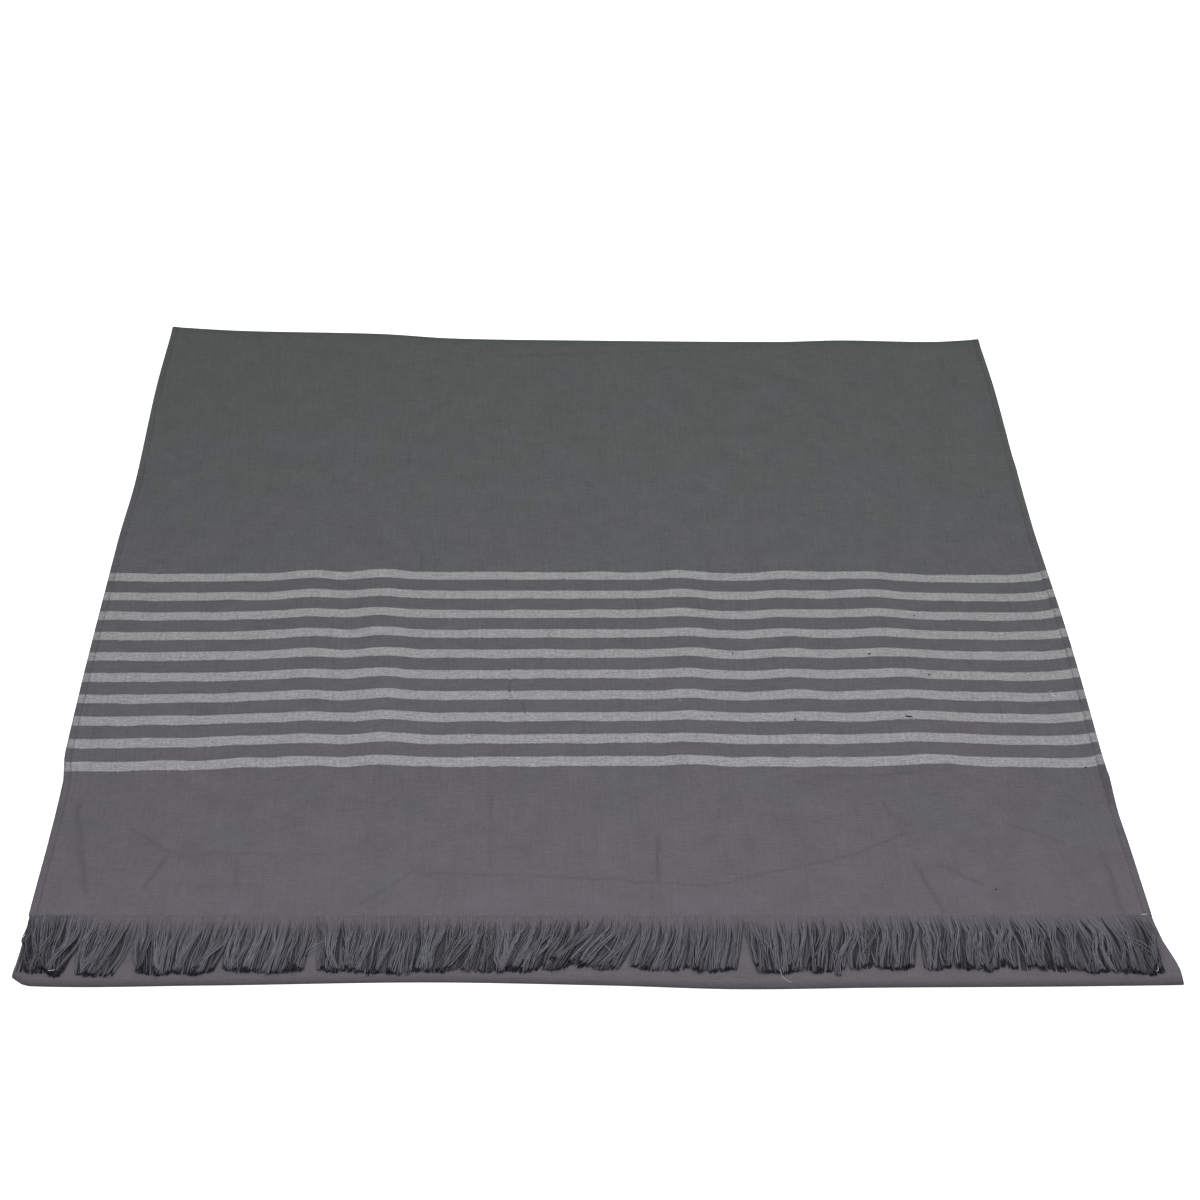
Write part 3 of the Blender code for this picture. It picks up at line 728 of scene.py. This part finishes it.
def under_yarns_in_painted_shade(lie, tuft, left, fringe, chance, t):
    """The yarns below, which lie nearly straight, dark with painted shade."""
    width, reach = tuft.root_end - left, tuft.tip_end - tuft.tip_start - 0.5 * abs(tuft.lean)
    count = round(width * fringe.under_density)
    share = ((np.arange(count) + chance.uniform(0.2, 0.8, count)) / count)[:, None]
    root = left + share * width
    tip = tuft.tip_start + max(0.5 * tuft.lean, 0.0) + (0.03 + 0.94 * share) * reach
    tip = tip + chance.normal(0, 0.5 * MM, count)[:, None] * tuft.tangle
    x = root + (tip - root) * t**tuft.late
    x = x + 0.35 * MM * tuft.tangle * np.sin(math.pi * (1.6 * t + 90 * root)) * t
    ragged = 0.05 * (drift(root, 0.0, size=0.012, seed=41) - 0.35) + chance.normal(0, 0.004, count)[:, None]
    ragged = ragged - 0.018 - 0.05 * abs(2 * share - 1) ** 3
    low = (0.2 + chance.uniform(0, 0.8, count)[:, None]) * MM * ease(t / 0.4)
    path = lay_down(lie, fringe, x, t, tuft.length * (1 + ragged), abs(tip - root), low)
    # Their dark tone is painted shade, which shows where the strands above part
    tone = np.clip(0.12 - tuft.dark + chance.normal(0, 0.08, count), 0, 1)
    return path, np.full(path.shape[:2], fringe.yarn / 2), tone


def strand_ends(tuft, left, middle, chance):
    """Where a strand has its root and its tip, and whether it goes astray."""
    root = left + middle * (tuft.root_end - left)
    tip = tuft.tip_start + middle * (tuft.tip_end - tuft.tip_start)
    sway = 2 * drift(root, 0.0, size=0.012, seed=42) - 1
    tip += 2.4 * MM * sway * tuft.tangle + chance.normal(0, 0.6 * MM) * tuft.tangle
    astray = chance.uniform() < 0.09 * tuft.tangle
    tip += tuft.lean * chance.uniform(0.3, 1.2) + astray * chance.normal(0, 5 * MM)
    inside = 0.8 * MM
    return root, min(max(tip, tuft.tip_start + inside), tuft.tip_end - inside), astray


def strand_course(tuft, root, tip, place, spread, chance, t):
    """The sideways places of a strand's yarns: its lean, waves, swing, kink, and the yarns' own crossings."""
    pace = chance.uniform(0.7, 1.4)
    phase = 2 * math.pi * root / 0.026 + chance.normal(0, 0.7)
    wave = chance.uniform(0.2, 1.1) * MM * tuft.tangle
    swing = tuft.swing * MM * np.sin(math.pi * (1.9 * t - 0.15 + 0.25 * np.sin(root * 330)))
    x = root + (tip - root) * t ** (tuft.late * chance.uniform(0.65, 1.4)) + spread
    phase = 2 * math.pi * pace * t + phase + chance.normal(0, 0.15, len(place))[:, None]
    x = x + wave * ease(2.2 * t) * np.sin(phase)
    kink = chance.normal(0, 0.9 * MM) * tuft.tangle
    x = x + swing * ease(3 * t) + kink * ease((t - chance.uniform(0.2, 0.8)) / 0.13)
    crossing = 2 * math.pi * chance.uniform(1.0, 2.2) * t
    crossing = crossing + 2.4 * np.sin(chance.uniform(3, 7) * place + 9000 * root)
    x = x + (0.20 + 0.17 * tuft.tangle) * MM * ease(1.8 * t) * np.sin(crossing)
    return x + chance.normal(0, 0.20 * MM, len(place))[:, None] * tuft.tangle * t**2


def strand_yarns(lie, tuft, left, fringe, chance, t, low, high):
    """The yarns of one strand, whose roots lie between two shares of the tuft's width."""
    width, half = tuft.root_end - left, (high - low) / 2
    count = max(3, round(2 * half * width * fringe.density))
    root, tip, astray = strand_ends(tuft, left, (low + high) / 2, chance)
    place = np.linspace(-1, 1, count)[:, None] + chance.uniform(-0.3, 0.3, count)[:, None] / count
    level = chance.uniform(0, 1, count)[:, None]
    # Some strands are drawn together further down, which opens a gap beside them
    narrowed = 0.26
    drawn = chance.uniform(0.64, 0.82) if chance.uniform() < narrowed else chance.uniform(0.88, 1.04)
    opened = drawn + (1 - drawn) * chance.uniform(0.1, 0.8)
    part = chance.uniform(0.1, 0.9) / (0.6 + tuft.tangle)
    apart = ease((t - part) / 0.35)
    tight = 1 - (1 - drawn) * apart + (opened - drawn) * ease((t - 0.6) / 0.4)
    x = strand_course(tuft, root, tip, place, place * half * width * tight, chance, t)
    edge = abs(2 * (tip - tuft.tip_start) / (tuft.tip_end - tuft.tip_start) - 1)
    trim = 0.05 * (drift(root, 0.0, size=0.014, seed=43) - 0.4) - 0.06 * edge**3
    trim = trim - 0.022 * np.clip(abs(place), 0, 1) ** 2
    length = 1 + trim[:, 0] + chance.normal(0, 0.014) + chance.normal(0, 0.004, count)
    round_top = np.sqrt(np.maximum(1 - 0.9 * np.clip(place, -1, 1) ** 2, 0))
    height = count * fringe.yarn**2 * 0.55 / (2 * half * width * drawn)
    arch = fringe.stand * tuft.full * chance.uniform(0.15, 1.0)
    arch = arch * np.sin(math.pi * np.minimum(t / 0.97, 1) ** 0.85)
    lift = 0.9 * MM * ease(t / 0.4) + level * round_top * height * apart + arch + astray * 1.2 * MM * apart
    loose = chance.uniform(0.2, 1.4) * MM * tuft.full
    lift = lift + loose * ease((t - 0.4) / 0.4) * (1 - 0.5 * ease((t - 0.9) / 0.1))
    sunk = chance.uniform(0, 0.30 * MM, count)[:, None]
    path = lay_down(lie, fringe, x, t, tuft.length * length[:, None], abs(tip - root), lift, sunk)
    radius = fringe.yarn / 2 * chance.uniform(0.85, 1.15, count)[:, None]
    radius = radius * (1 - 0.3 * ease((t - 0.92) / 0.08))
    # The lowest yarns of a strand are in its shade
    lowest, shade = 0.17, 0.60
    tone = 0.44 - tuft.dark + 0.28 * level[:, 0] - shade * (level[:, 0] < lowest)
    tone = tone + chance.normal(0, 0.09 + 0.03 * tuft.tangle, count) + chance.normal(0, 0.08)
    return path, radius, np.clip(tone, 0, 1)


def tuft_yarns(lie, tuft, left, fringe, chance, steps):
    """The yarns of one tuft: those below, and then the upper ones strand by strand."""
    t = np.linspace(0, 1, steps)
    made = [under_yarns_in_painted_shade(lie, tuft, left, fringe, chance, t)]
    count = max(3, round((tuft.root_end - left) / fringe.strand / tuft.full))
    inner = chance.uniform(-0.4, 0.4, count - 1)
    edges = (np.arange(count + 1) + np.concatenate(((0,), inner, (0,)))) / count
    for low, high in zip(edges[:-1], edges[1:]):
        made.append(strand_yarns(lie, tuft, left, fringe, chance, t, low, high))
    return tuple(np.concatenate(parts) for parts in zip(*made))


def stray_yarns(lie, fringe, steps):
    """Single yarns that lie over the others."""
    t = np.linspace(0, 1, steps)
    low, thicker, tone = 1.2 * MM, 1.2, 0.95
    paths = []
    for stray in STRAYS:
        x = stray.x0 + (stray.x1 - stray.x0) * t + stray.bow * np.sin(math.pi * t)
        y = lie.cloth.upper_end - stray.down0 - (stray.down1 - stray.down0) * t
        z = lie.lower_top(x, y) + low + (stray.height - low) * (0.3 + 0.7 * np.sin(math.pi * t))
        paths.append(joined(x, y, z))
    paths = np.array(paths)
    return paths, np.full(paths.shape[:2], thicker * fringe.yarn / 2), np.full(len(paths), tone)


def make_upper_fringe(lie, fringe, material, steps=15):
    """The fringe that shows, in two pieces: the left tufts, and the right tufts with the strays."""
    chance = np.random.default_rng(SEED)
    left = float(through(UPPER_LEFT, lie.cloth.upper_end)) + 0.2 * MM
    made = []
    for tuft in UPPER_TUFTS:
        made.append(tuft_yarns(lie, tuft, left, fringe, chance, steps))
        left = tuft.root_end
    half = len(made) // 2
    groups = {
        "fringe_yarns_left": made[:half],
        "fringe_yarns_right": [*made[half:], stray_yarns(lie, fringe, steps)],
    }
    for name, group in groups.items():
        obj = make_yarns(name, *(np.concatenate(parts) for parts in zip(*group)))
        finish_piece(obj, material, "loose_warp_ends", "fringe_upper")


def make_hidden_fringe(lie, fringe, material, steps=6):
    """The fringe of the tucked end, level on what the towel lies on."""
    chance = np.random.default_rng(SEED + 1)
    left, right = (float(through(side, lie.tuck_end)) for side in (LOWER_LEFT, LOWER_RIGHT))
    count = round((right - left) * fringe.hidden_density)
    t = np.linspace(0, 1, steps)
    root = left + (right - left) * (np.arange(count) + 0.5) / count
    tip = root + 1.6 * MM * np.sin(root * 2 * math.pi / 0.047) + chance.normal(0, 0.4 * MM, count)
    tip = np.clip(tip, left + MM, right - MM)
    x = root[:, None] + (tip - root)[:, None] * t**1.5
    y = lie.tuck_end - MM + (fringe.length * (1 + chance.normal(0, 0.015, count))[:, None] + MM) * t
    z = fringe.yarn / 2 + 0.02 * MM + 0.25 * MM * (1 - ease(t / 0.3))
    radii = np.full(x.shape, fringe.yarn / 2)
    tones = np.clip(chance.normal(0.5, 0.15, count), 0, 1)
    obj = make_yarns("fringe_yarns_hidden", joined(x, y, z), radii, tones)
    finish_piece(obj, material, "loose_warp_ends", "fringe_tucked")


def make_stitches(sheet, fringe, material):
    """Both rows of hem stitches, on both faces of the cloth, each stitch a short raised thread."""
    paths = []
    arc = np.linspace(0, 1, 5)
    from_end, sewn, arch = 0.002, 0.84, 0.62
    for outer, sunk in ((True, 0.30), (False, 0.95)):
        face = sheet.face(outer)
        out = sheet.normals if outer else -sheet.normals
        for column in sheet.stitched:
            line, up = face[:, column], out[:, column]
            walked = np.append(0, np.linalg.norm(np.diff(line, axis=0), axis=1).cumsum())
            count = int((walked[-1] - 2 * from_end) / fringe.stitch)
            starts = from_end + fringe.stitch * np.arange(count)
            spots = starts[:, None] + sewn * fringe.stitch * arc
            at = np.stack([np.interp(spots, walked, line[:, axis]) for axis in range(3)], axis=-1)
            way = np.stack([np.interp(spots, walked, up[:, axis]) for axis in range(3)], axis=-1)
            rise = fringe.thread * (arch * np.sin(math.pi * arc) ** 0.5 - sunk)
            paths.append(at + way * rise[None, :, None])
    paths = np.concatenate(paths)
    paths[:, :, 2] = np.maximum(paths[:, :, 2], fringe.thread / 2)
    radii = np.full(paths.shape[:2], fringe.thread / 2)
    tones = np.random.default_rng(SEED + 2).uniform(0.3, 0.7, len(paths))
    obj = make_yarns("hem_stitches", paths, radii, tones)
    finish_piece(obj, material, "woven_cotton")


def make_lint(lie, material, steps=9):
    """Lint, pale thread ends and dark neps, lying on the upper half or on what shows of the lower one."""
    t = np.linspace(0, 1, steps)
    inside_hems, fringe_front, fringe_height = 0.488, -0.443, 0.0034
    paths, radii = [], []
    for bit in LINT:
        turn = math.radians(bit.turn) + bit.curl * 2.4 * (t - 0.5)
        dx, dy = np.cos(turn) / (steps - 1) * bit.length, np.sin(turn) / (steps - 1) * bit.length
        x, y = bit.x + dx.cumsum() - dx.sum() / 2, bit.y + dy.cumsum() - dy.sum() / 2
        thickness = lie.cloth.hem_thickness if abs(bit.x) > inside_hems else lie.cloth.thickness
        above = lie.upper_underside(x, y) + thickness
        below = lie.lower_top(x, y) + fringe_height * (y > fringe_front)
        z = np.where(y > lie.cloth.upper_end, above, below) + bit.thickness * 0.4
        paths.append(joined(x, y, z))
        radii.append(bit.thickness / 2 * (0.35 + 0.65 * np.sin(math.pi * (0.08 + 0.84 * t))))
    tones = np.array([bit.tone for bit in LINT])
    obj = make_yarns("lint", np.array(paths), np.array(radii), tones)
    finish_piece(obj, material, "loose_warp_ends")


def node_of(operation, turned=False):
    """A method of Wire that adds a Math node of this operation, with the wire last if it is turned round."""

    def method(self, *others):
        values = (*others, self) if turned else (self, *others)
        return self.finish.maths(operation, *values)

    return method


class Wire:
    """A value in a material. Sums written with it become Math nodes."""

    def __init__(self, finish, socket):
        self.finish, self.socket = finish, socket

    __add__ = __radd__ = node_of("ADD")
    __mul__ = __rmul__ = node_of("MULTIPLY")
    __sub__, __rsub__ = node_of("SUBTRACT"), node_of("SUBTRACT", turned=True)
    __truediv__, __rtruediv__ = node_of("DIVIDE"), node_of("DIVIDE", turned=True)
    __lt__, __gt__ = node_of("LESS_THAN"), node_of("GREATER_THAN")
    __abs__ = node_of("ABSOLUTE")
    least, most, sine = node_of("MINIMUM"), node_of("MAXIMUM"), node_of("SINE")
    # What is left past the whole number below
    past_whole = node_of("FRACT")

    def held(self):
        """The value kept from 0 to 1."""
        return self.finish.node("ShaderNodeClamp", {}, {"Value": self})


class Finish:
    """A material in the making, round one Principled shader."""

    def __init__(self, name, **values):
        self.material = bpy.data.materials.new(name)
        self.material.use_nodes = True
        self.nodes, self.links = self.material.node_tree.nodes, self.material.node_tree.links
        self.shader = self.nodes["Principled BSDF"]
        for socket, value in values.items():
            self.shader.inputs[socket.replace("_", " ")].default_value = value

    def node(self, kind, settings, inputs, output=0):
        """Adds a node, with its settings first and then the values or wires of its sockets."""
        made = self.nodes.new(kind)
        for setting, value in settings.items():
            setattr(made, setting, value)
        for socket, value in inputs.items():
            if isinstance(value, Wire):
                self.links.new(value.socket, made.inputs[socket])
            else:
                made.inputs[socket].default_value = value
        return Wire(self, made.outputs[output])

    def maths(self, operation, *values):
        return self.node("ShaderNodeMath", {"operation": operation}, dict(enumerate(values)))

    def vector(self, operation, first, second):
        """A vector node of two vectors, or of a vector and a scale."""
        inputs = {0: first, "Scale" if operation == "SCALE" else 1: second}
        output = "Value" if operation in ("DOT_PRODUCT", "DISTANCE") else "Vector"
        return self.node("ShaderNodeVectorMath", {"operation": operation}, inputs, output)

    def blend(self, share, low, high):
        """The colour that is a share of the way from low to high."""
        return self.node("ShaderNodeMix", {"data_type": "RGBA"}, {0: share, 6: low, 7: high}, 2)

    def shade(self, base, amount):
        """The colour base times a value."""
        return self.vector("SCALE", base, amount)

    def layer(self, name):
        """A mesh layer as a vector, and its three values."""
        made = self.node("ShaderNodeAttribute", {"attribute_name": name}, {}, "Vector")
        split = self.node("ShaderNodeSeparateXYZ", {}, {0: made})
        return made, *(Wire(self, out) for out in split.socket.node.outputs)

    def noise(self, at, scale, detail, roughness=0.5, output=0):
        """Plain noise at a place, or along a line if the place is a single value."""
        if at.socket.type == "VALUE":
            settings, place = {"noise_dimensions": "1D"}, "W"
        else:
            settings, place = {}, "Vector"
        values = {place: at, "Scale": scale, "Detail": detail, "Roughness": roughness}
        return self.node("ShaderNodeTexNoise", settings, values, output)

    def grain(self, at, across, along, detail=2.0, roughness=0.5):
        """Uneven grain, from 0 to 1, whose spots have this size in metres across and along."""
        stretched = self.vector("MULTIPLY", at, (1 / across, 1 / along, 9.0))
        return self.noise(stretched, 1.0, detail, roughness)

    def near(self, at, start, end, width):
        """How near a place is to a line from start to end, from 0 outside its width to 1 on it."""
        way = tuple(b - a for a, b in zip(start, end))
        from_start = self.vector("SUBTRACT", at, start)
        share = self.vector("DOT_PRODUCT", from_start, way) / sum(step * step for step in way)
        foot = self.vector("SCALE", way, share.held())
        return (1 - self.vector("DISTANCE", from_start, foot) / width).held()

    def feed(self, socket, wire):
        self.links.new(wire.socket, self.shader.inputs[socket])

    def relief(self, height, metres):
        """Bump of this height."""
        values = {"Strength": 1.0, "Distance": metres, "Height": height}
        self.feed("Normal", self.node("ShaderNodeBump", {}, values))


def crease_lines(made, flat, cloth):
    """Where the fine creases run, from 0 to 1, on the cloth laid out flat."""
    noise = made.noise(flat, scale=60.0, detail=2.0, output="Color")
    unsteady = made.vector("SCALE", made.vector("SUBTRACT", noise, (0.5, 0.5, 0.5)), 0.006)
    at = made.vector("ADD", flat, unsteady)
    at = made.vector("MULTIPLY", at, (1, 1, 0))
    spread, lines = 1.6, None
    for crease in CREASES:
        ends = []
        for x, y in ((crease.x0, crease.y0), (crease.x1, crease.y1)):
            left, right = through(UPPER_LEFT, y), through(UPPER_RIGHT, y)
            ends.append((float((x - left) / (right - left) - 0.5) * cloth.width, y - cloth.upper_end, 0.0))
        line = made.near(at, *ends, spread * crease.width)
        line = line * line * crease.sharp
        lines = line if lines is None else lines.most(line)
    return lines


def woven_cotton(colours, cloth, stripes):
    """The cloth: a plain weave of dark warp, with pale heathered weft in the stripes."""
    gloss = {"Roughness": 0.93, "Specular_IOR_Level": 0.25, "Sheen_Weight": 0.12, "Sheen_Roughness": 0.6}
    made = Finish("woven cotton", **gloss)
    flat, across, along, side = made.layer("flat")
    # The flat layer's third value tells the outside face, and how near the folds a point is, for the painted
    # shade on their rounding
    outside, folded = side.held(), (side - 1.0).most(0.0 - side)
    inward = along.least(cloth.length - along)
    # Unevenness of the yarns, from the fine streaks of the warp to the broad mottle of the cloth
    streaks = made.grain(flat, 0.0022, 0.045, roughness=0.7) - 0.5
    slubs = made.grain(flat, 0.020, 0.0016, roughness=0.7) - 0.5
    speckle = made.grain(flat, 0.0034, 0.0017, roughness=0.8) - 0.5
    mottle = made.grain(flat, 0.036, 0.028, detail=4.0, roughness=0.75) - 0.5
    wander = made.grain(flat, 0.024, 0.012, detail=3.0, roughness=0.6) - 0.5
    # The cooler ground: partly random heather, partly painted tint and shade that grows with distance from
    # the cloth's ends
    cooler = ((made.grain(flat, 0.070, 0.060) - 0.5) * 1.2 + inward * 1.15).held()
    # Where the fine creases run: they bend the stripe edges, and further down they darken the cloth as
    # painted shade
    creased = crease_lines(made, flat, cloth) * (1.0 + mottle * 3.0)
    # The stripes, with soft ragged edges and a darker thread beside each
    end = inward + wander * (3.0 * MM) + speckle * (0.8 * MM) + creased * (1.6 * MM)
    place = (end - (stripes.first - stripes.pitch / 2)) / stripes.pitch
    off = abs(place.past_whole() - 0.5) * stripes.pitch
    inside = (place > 0.0) * (place < float(stripes.count))
    pale = ((stripes.width / 2 - off) / (1.1 * MM) + 0.5).held() * inside
    beside = (1 - abs(off - (stripes.width / 2 + 1.2 * MM)) / (0.9 * MM)).held() * inside
    # The hems, the dent along their stitches with its painted shade, the fraying ends and the weave
    hem_line = cloth.width / 2 - cloth.hem_width
    in_hem = (abs(across) > hem_line) * outside
    seam_dent_shade = (1 - abs(abs(across) - (hem_line + 0.6 * MM)) / (0.8 * MM)).held() * outside
    unravelled = (1 - end / (7 * MM)).held()
    warp, weft = (((line * (math.pi / stripes.yarn)) + wander * 1.4).sine() for line in (across, along))
    weave = warp * weft
    # How strongly all this shows in the dark ground and in the pale weft
    strong = 0.58 + (inward / 0.20).held() * 0.54
    dark = 1.0 + (streaks * 0.38 + slubs * 0.48 + speckle * 0.66) * strong + streaks * unravelled * 0.5
    dark = dark + weave * 0.04 + mottle * 0.42 - beside * 0.07
    # Painted shade: darker in the stitch dents, along the creases and on the rounding of the folds
    dark = dark - in_hem * 0.05 - seam_dent_shade * 0.12 - creased * 0.20 - folded * 0.34
    light = 0.99 + (inward - 0.17).held() * 0.26 + slubs * 0.85 + speckle * 1.45 + streaks * 0.45
    light = light + mottle * 0.15 + weave * 0.06
    # Painted shade in the stitch dents and along the creases, in the pale weft as well
    light = light - in_hem * 0.12 - seam_dent_shade * 0.20 - creased * 0.12
    ground = made.blend(cooler, colours.ground, colours.ground_cool)
    body = made.blend(pale, made.shade(ground, dark), made.shade(colours.pale[:3], light))
    made.feed("Base Color", body)
    made.relief((weave * 0.4 + streaks * 0.8 + slubs * 1.0 + speckle * 0.8) * strong, 0.20 * MM)
    return made.material


def loose_yarn(colours):
    """The loose warp ends: as the cloth at the root, darker towards the cut tip, where the near-black is the
    cut ends with painted shadow under the raised tips.
    """
    made = Finish("loose warp ends", Roughness=0.9, Specular_IOR_Level=0.22, Sheen_Weight=0.1)
    yarn, tone, share, start = made.layer("yarn")
    twist = made.grain(yarn, 0.30, 0.030, roughness=0.6)
    tip_shadow_bunch = made.noise(start, scale=75.0, detail=1.0)
    patch = made.noise(start, scale=26.0, detail=2.0)
    gap = (0.5 - patch).most(0.0) * 0.9 + (0.42 - tone).most(0.0) * (share * 4.2).least(1.6)
    # The roots are matted and dark left of one place, and half as much right of another
    matted_left, matted_right = -0.43, 0.22
    matted = ((matted_left - start) / 0.03).held() + ((start - matted_right) / 0.05).held() * 0.5
    root = (1.56 - share * 2.7 - gap - matted).held()
    # The tips turn near-black, over a longer stretch in some bunches: the cut ends and painted shadow under
    # them
    tip = ((share - 0.980 + (tip_shadow_bunch - 0.43).most(0.0) * (0.22 + tone * 0.16)) / 0.025).held()
    body = made.blend(root, colours.loose, colours.ground)
    body = made.blend(tip, body, colours.tip)
    spread = 1.70 - root * 1.58
    # Darker towards the tip, and unevenly in patches
    darker_towards_tip = 1.18 - share * share * 0.33 + (patch - 0.5) * (0.5 - root * 0.35)
    made.feed("Base Color", made.shade(body, darker_towards_tip + (tone - 0.52) * spread + (twist - 0.5) * 0.35))
    made.relief((share * 260.0 + start * 4000.0).sine(), 0.05 * MM)
    return made.material


def sewing_thread(colours):
    """Dark cotton thread with a fine twist."""
    made = Finish("sewing thread", Roughness=0.7, Specular_IOR_Level=0.35)
    _, tone, share, _ = made.layer("yarn")
    amount = 0.7 + tone * 0.6 + (share * 19.0).sine() * 0.1
    made.feed("Base Color", made.shade(colours.thread[:3], amount))
    made.relief((share * 38.0).sine(), 0.05 * MM)
    return made.material


def lint_fibre(colours):
    """Pale fibres, and dark neps where the tone is low."""
    made = Finish("lint fibre", Roughness=0.9)
    yarn, tone, *_ = made.layer("yarn")
    shaded = made.blend(tone, colours.tip, colours.lint)
    made.feed("Base Color", made.shade(shaded, 0.85 + made.grain(yarn, 0.2, 0.08) * 0.3))
    return made.material


def pale_floor(stage):
    """A plain pale floor, a little uneven."""
    glow = {"Emission_Color": (1, 1, 1, 1), "Emission_Strength": stage.floor_glow}
    made = Finish("pale floor", Roughness=0.8, **glow)
    at = made.node("ShaderNodeTexCoord", {}, {}, "Object")
    made.feed("Base Color", made.shade(stage.floor[:3], 0.985 + made.grain(at, 0.4, 0.4) * 0.03))
    return made.material


# The softboxes: their name, the setting for their watts, their sides, their place and their tint
SOFTBOXES = table(
    "name watts size place tint",
    ("front_softbox", "key", (2.2, 1.0), (0.03, -0.60, 1.25), (1.0, 0.93, 1.0)),
    ("back_softbox", "back", (1.6, 0.6), (0.35, 1.30, 1.20), (0.62, 1.0, 0.78)),
)


class TOWEL_OT_stage(Operator):
    """Sets the camera, the lights and the floor"""

    bl_idname = "towel.stage"
    bl_label = "Stage"

    def execute(self, context):
        stage, scene = context.scene.towel_stage, context.scene
        lens = bpy.data.cameras.new("camera")
        lens.lens, lens.sensor_width, lens.shift_x = stage.lens, 36.0, stage.shift
        camera = bpy.data.objects.new("camera", lens)
        camera.location = (-stage.camera_side, -stage.camera_back, stage.camera_height)
        camera.rotation_euler = (math.pi / 2 - stage.camera_tilt, 0, 0)
        scene.collection.objects.link(camera)
        scene.camera = camera
        for softbox in SOFTBOXES:
            light = bpy.data.lights.new(softbox.name, "AREA")
            light.shape, light.size, light.size_y = "RECTANGLE", *softbox.size
            light.energy, light.color = getattr(stage, softbox.watts), softbox.tint
            box = bpy.data.objects.new(softbox.name, light)
            box.location = softbox.place
            scene.collection.objects.link(box)
        world = bpy.data.worlds.new("studio")
        world.use_nodes = True
        background = world.node_tree.nodes["Background"]
        background.inputs["Color"].default_value = stage.fill_tint
        background.inputs["Strength"].default_value = stage.fill
        scene.world = world
        scene.view_settings.view_transform = "Standard"
        points = np.array(((-1, -1, 0), (1, -1, 0), (1, 1, 0), (-1, 1, 0))) * stage.floor_size / 2
        places = np.array(((0, 0), (1, 0), (1, 1), (0, 1)), float)
        floor = make_mesh("floor", points, np.array([[0, 1, 2, 3]]), {}, places)
        floor.data.materials.append(pale_floor(stage))
        floor.visible_diffuse = floor.visible_glossy = False
        return {"FINISHED"}


class TOWEL_OT_cloth(Operator):
    """Makes the folded cloth with its hems and stitches"""

    bl_idname = "towel.cloth"
    bl_label = "Cloth and stitches"

    def execute(self, context):
        scene = context.scene
        finish = woven_cotton(scene.towel_colours, scene.towel_sizes, scene.towel_stripes)
        sheet = make_cloth(scene.towel_sizes, scene.towel_fringe, finish)
        make_stitches(sheet, scene.towel_fringe, sewing_thread(scene.towel_colours))
        return {"FINISHED"}


class TOWEL_OT_fringe(Operator):
    """Makes both fringes, yarn by yarn"""

    bl_idname = "towel.fringe"
    bl_label = "Fringes"

    def execute(self, context):
        scene = context.scene
        lie = Lie(scene.towel_sizes, scene.towel_fringe.length)
        finish = loose_yarn(scene.towel_colours)
        make_upper_fringe(lie, scene.towel_fringe, finish)
        make_hidden_fringe(lie, scene.towel_fringe, finish)
        return {"FINISHED"}


class TOWEL_OT_lint(Operator):
    """Lays lint and thread ends on the towel"""

    bl_idname = "towel.lint"
    bl_label = "Lint"

    def execute(self, context):
        scene = context.scene
        lie = Lie(scene.towel_sizes, scene.towel_fringe.length)
        make_lint(lie, lint_fibre(scene.towel_colours))
        return {"FINISHED"}


class TOWEL_PT_panel(Panel):
    """Lists the towel's pieces, sizes and colours"""

    bl_label = "Hammam towel"
    bl_idname = "TOWEL_PT_panel"
    bl_space_type = "VIEW_3D"
    bl_region_type = "UI"
    bl_category = "Towel"

    def draw(self, context):
        for operator in OPERATORS:
            self.layout.operator(operator.bl_idname)
        for group in GROUPS:
            box = self.layout.box()
            settings = getattr(context.scene, group)
            for name in GROUPS[group].__annotations__:
                box.prop(settings, name)


OPERATORS = (TOWEL_OT_stage, TOWEL_OT_cloth, TOWEL_OT_fringe, TOWEL_OT_lint)
GROUPS = {
    "towel_sizes": TowelSizes,
    "towel_stripes": StripeSizes,
    "towel_fringe": FringeSizes,
    "towel_colours": TowelColours,
    "towel_stage": StageSizes,
}
CLASSES = (*GROUPS.values(), *OPERATORS, TOWEL_PT_panel)


def register():
    for each in CLASSES:
        bpy.utils.register_class(each)
    for name, group in GROUPS.items():
        setattr(bpy.types.Scene, name, PointerProperty(type=group))


def unregister():
    for name in GROUPS:
        delattr(bpy.types.Scene, name)
    for each in reversed(CLASSES):
        bpy.utils.unregister_class(each)


def main():
    register()
    for operator in OPERATORS:
        group, name = operator.bl_idname.split(".")
        getattr(getattr(bpy.ops, group), name)()


if __name__ == "__main__":
    main()
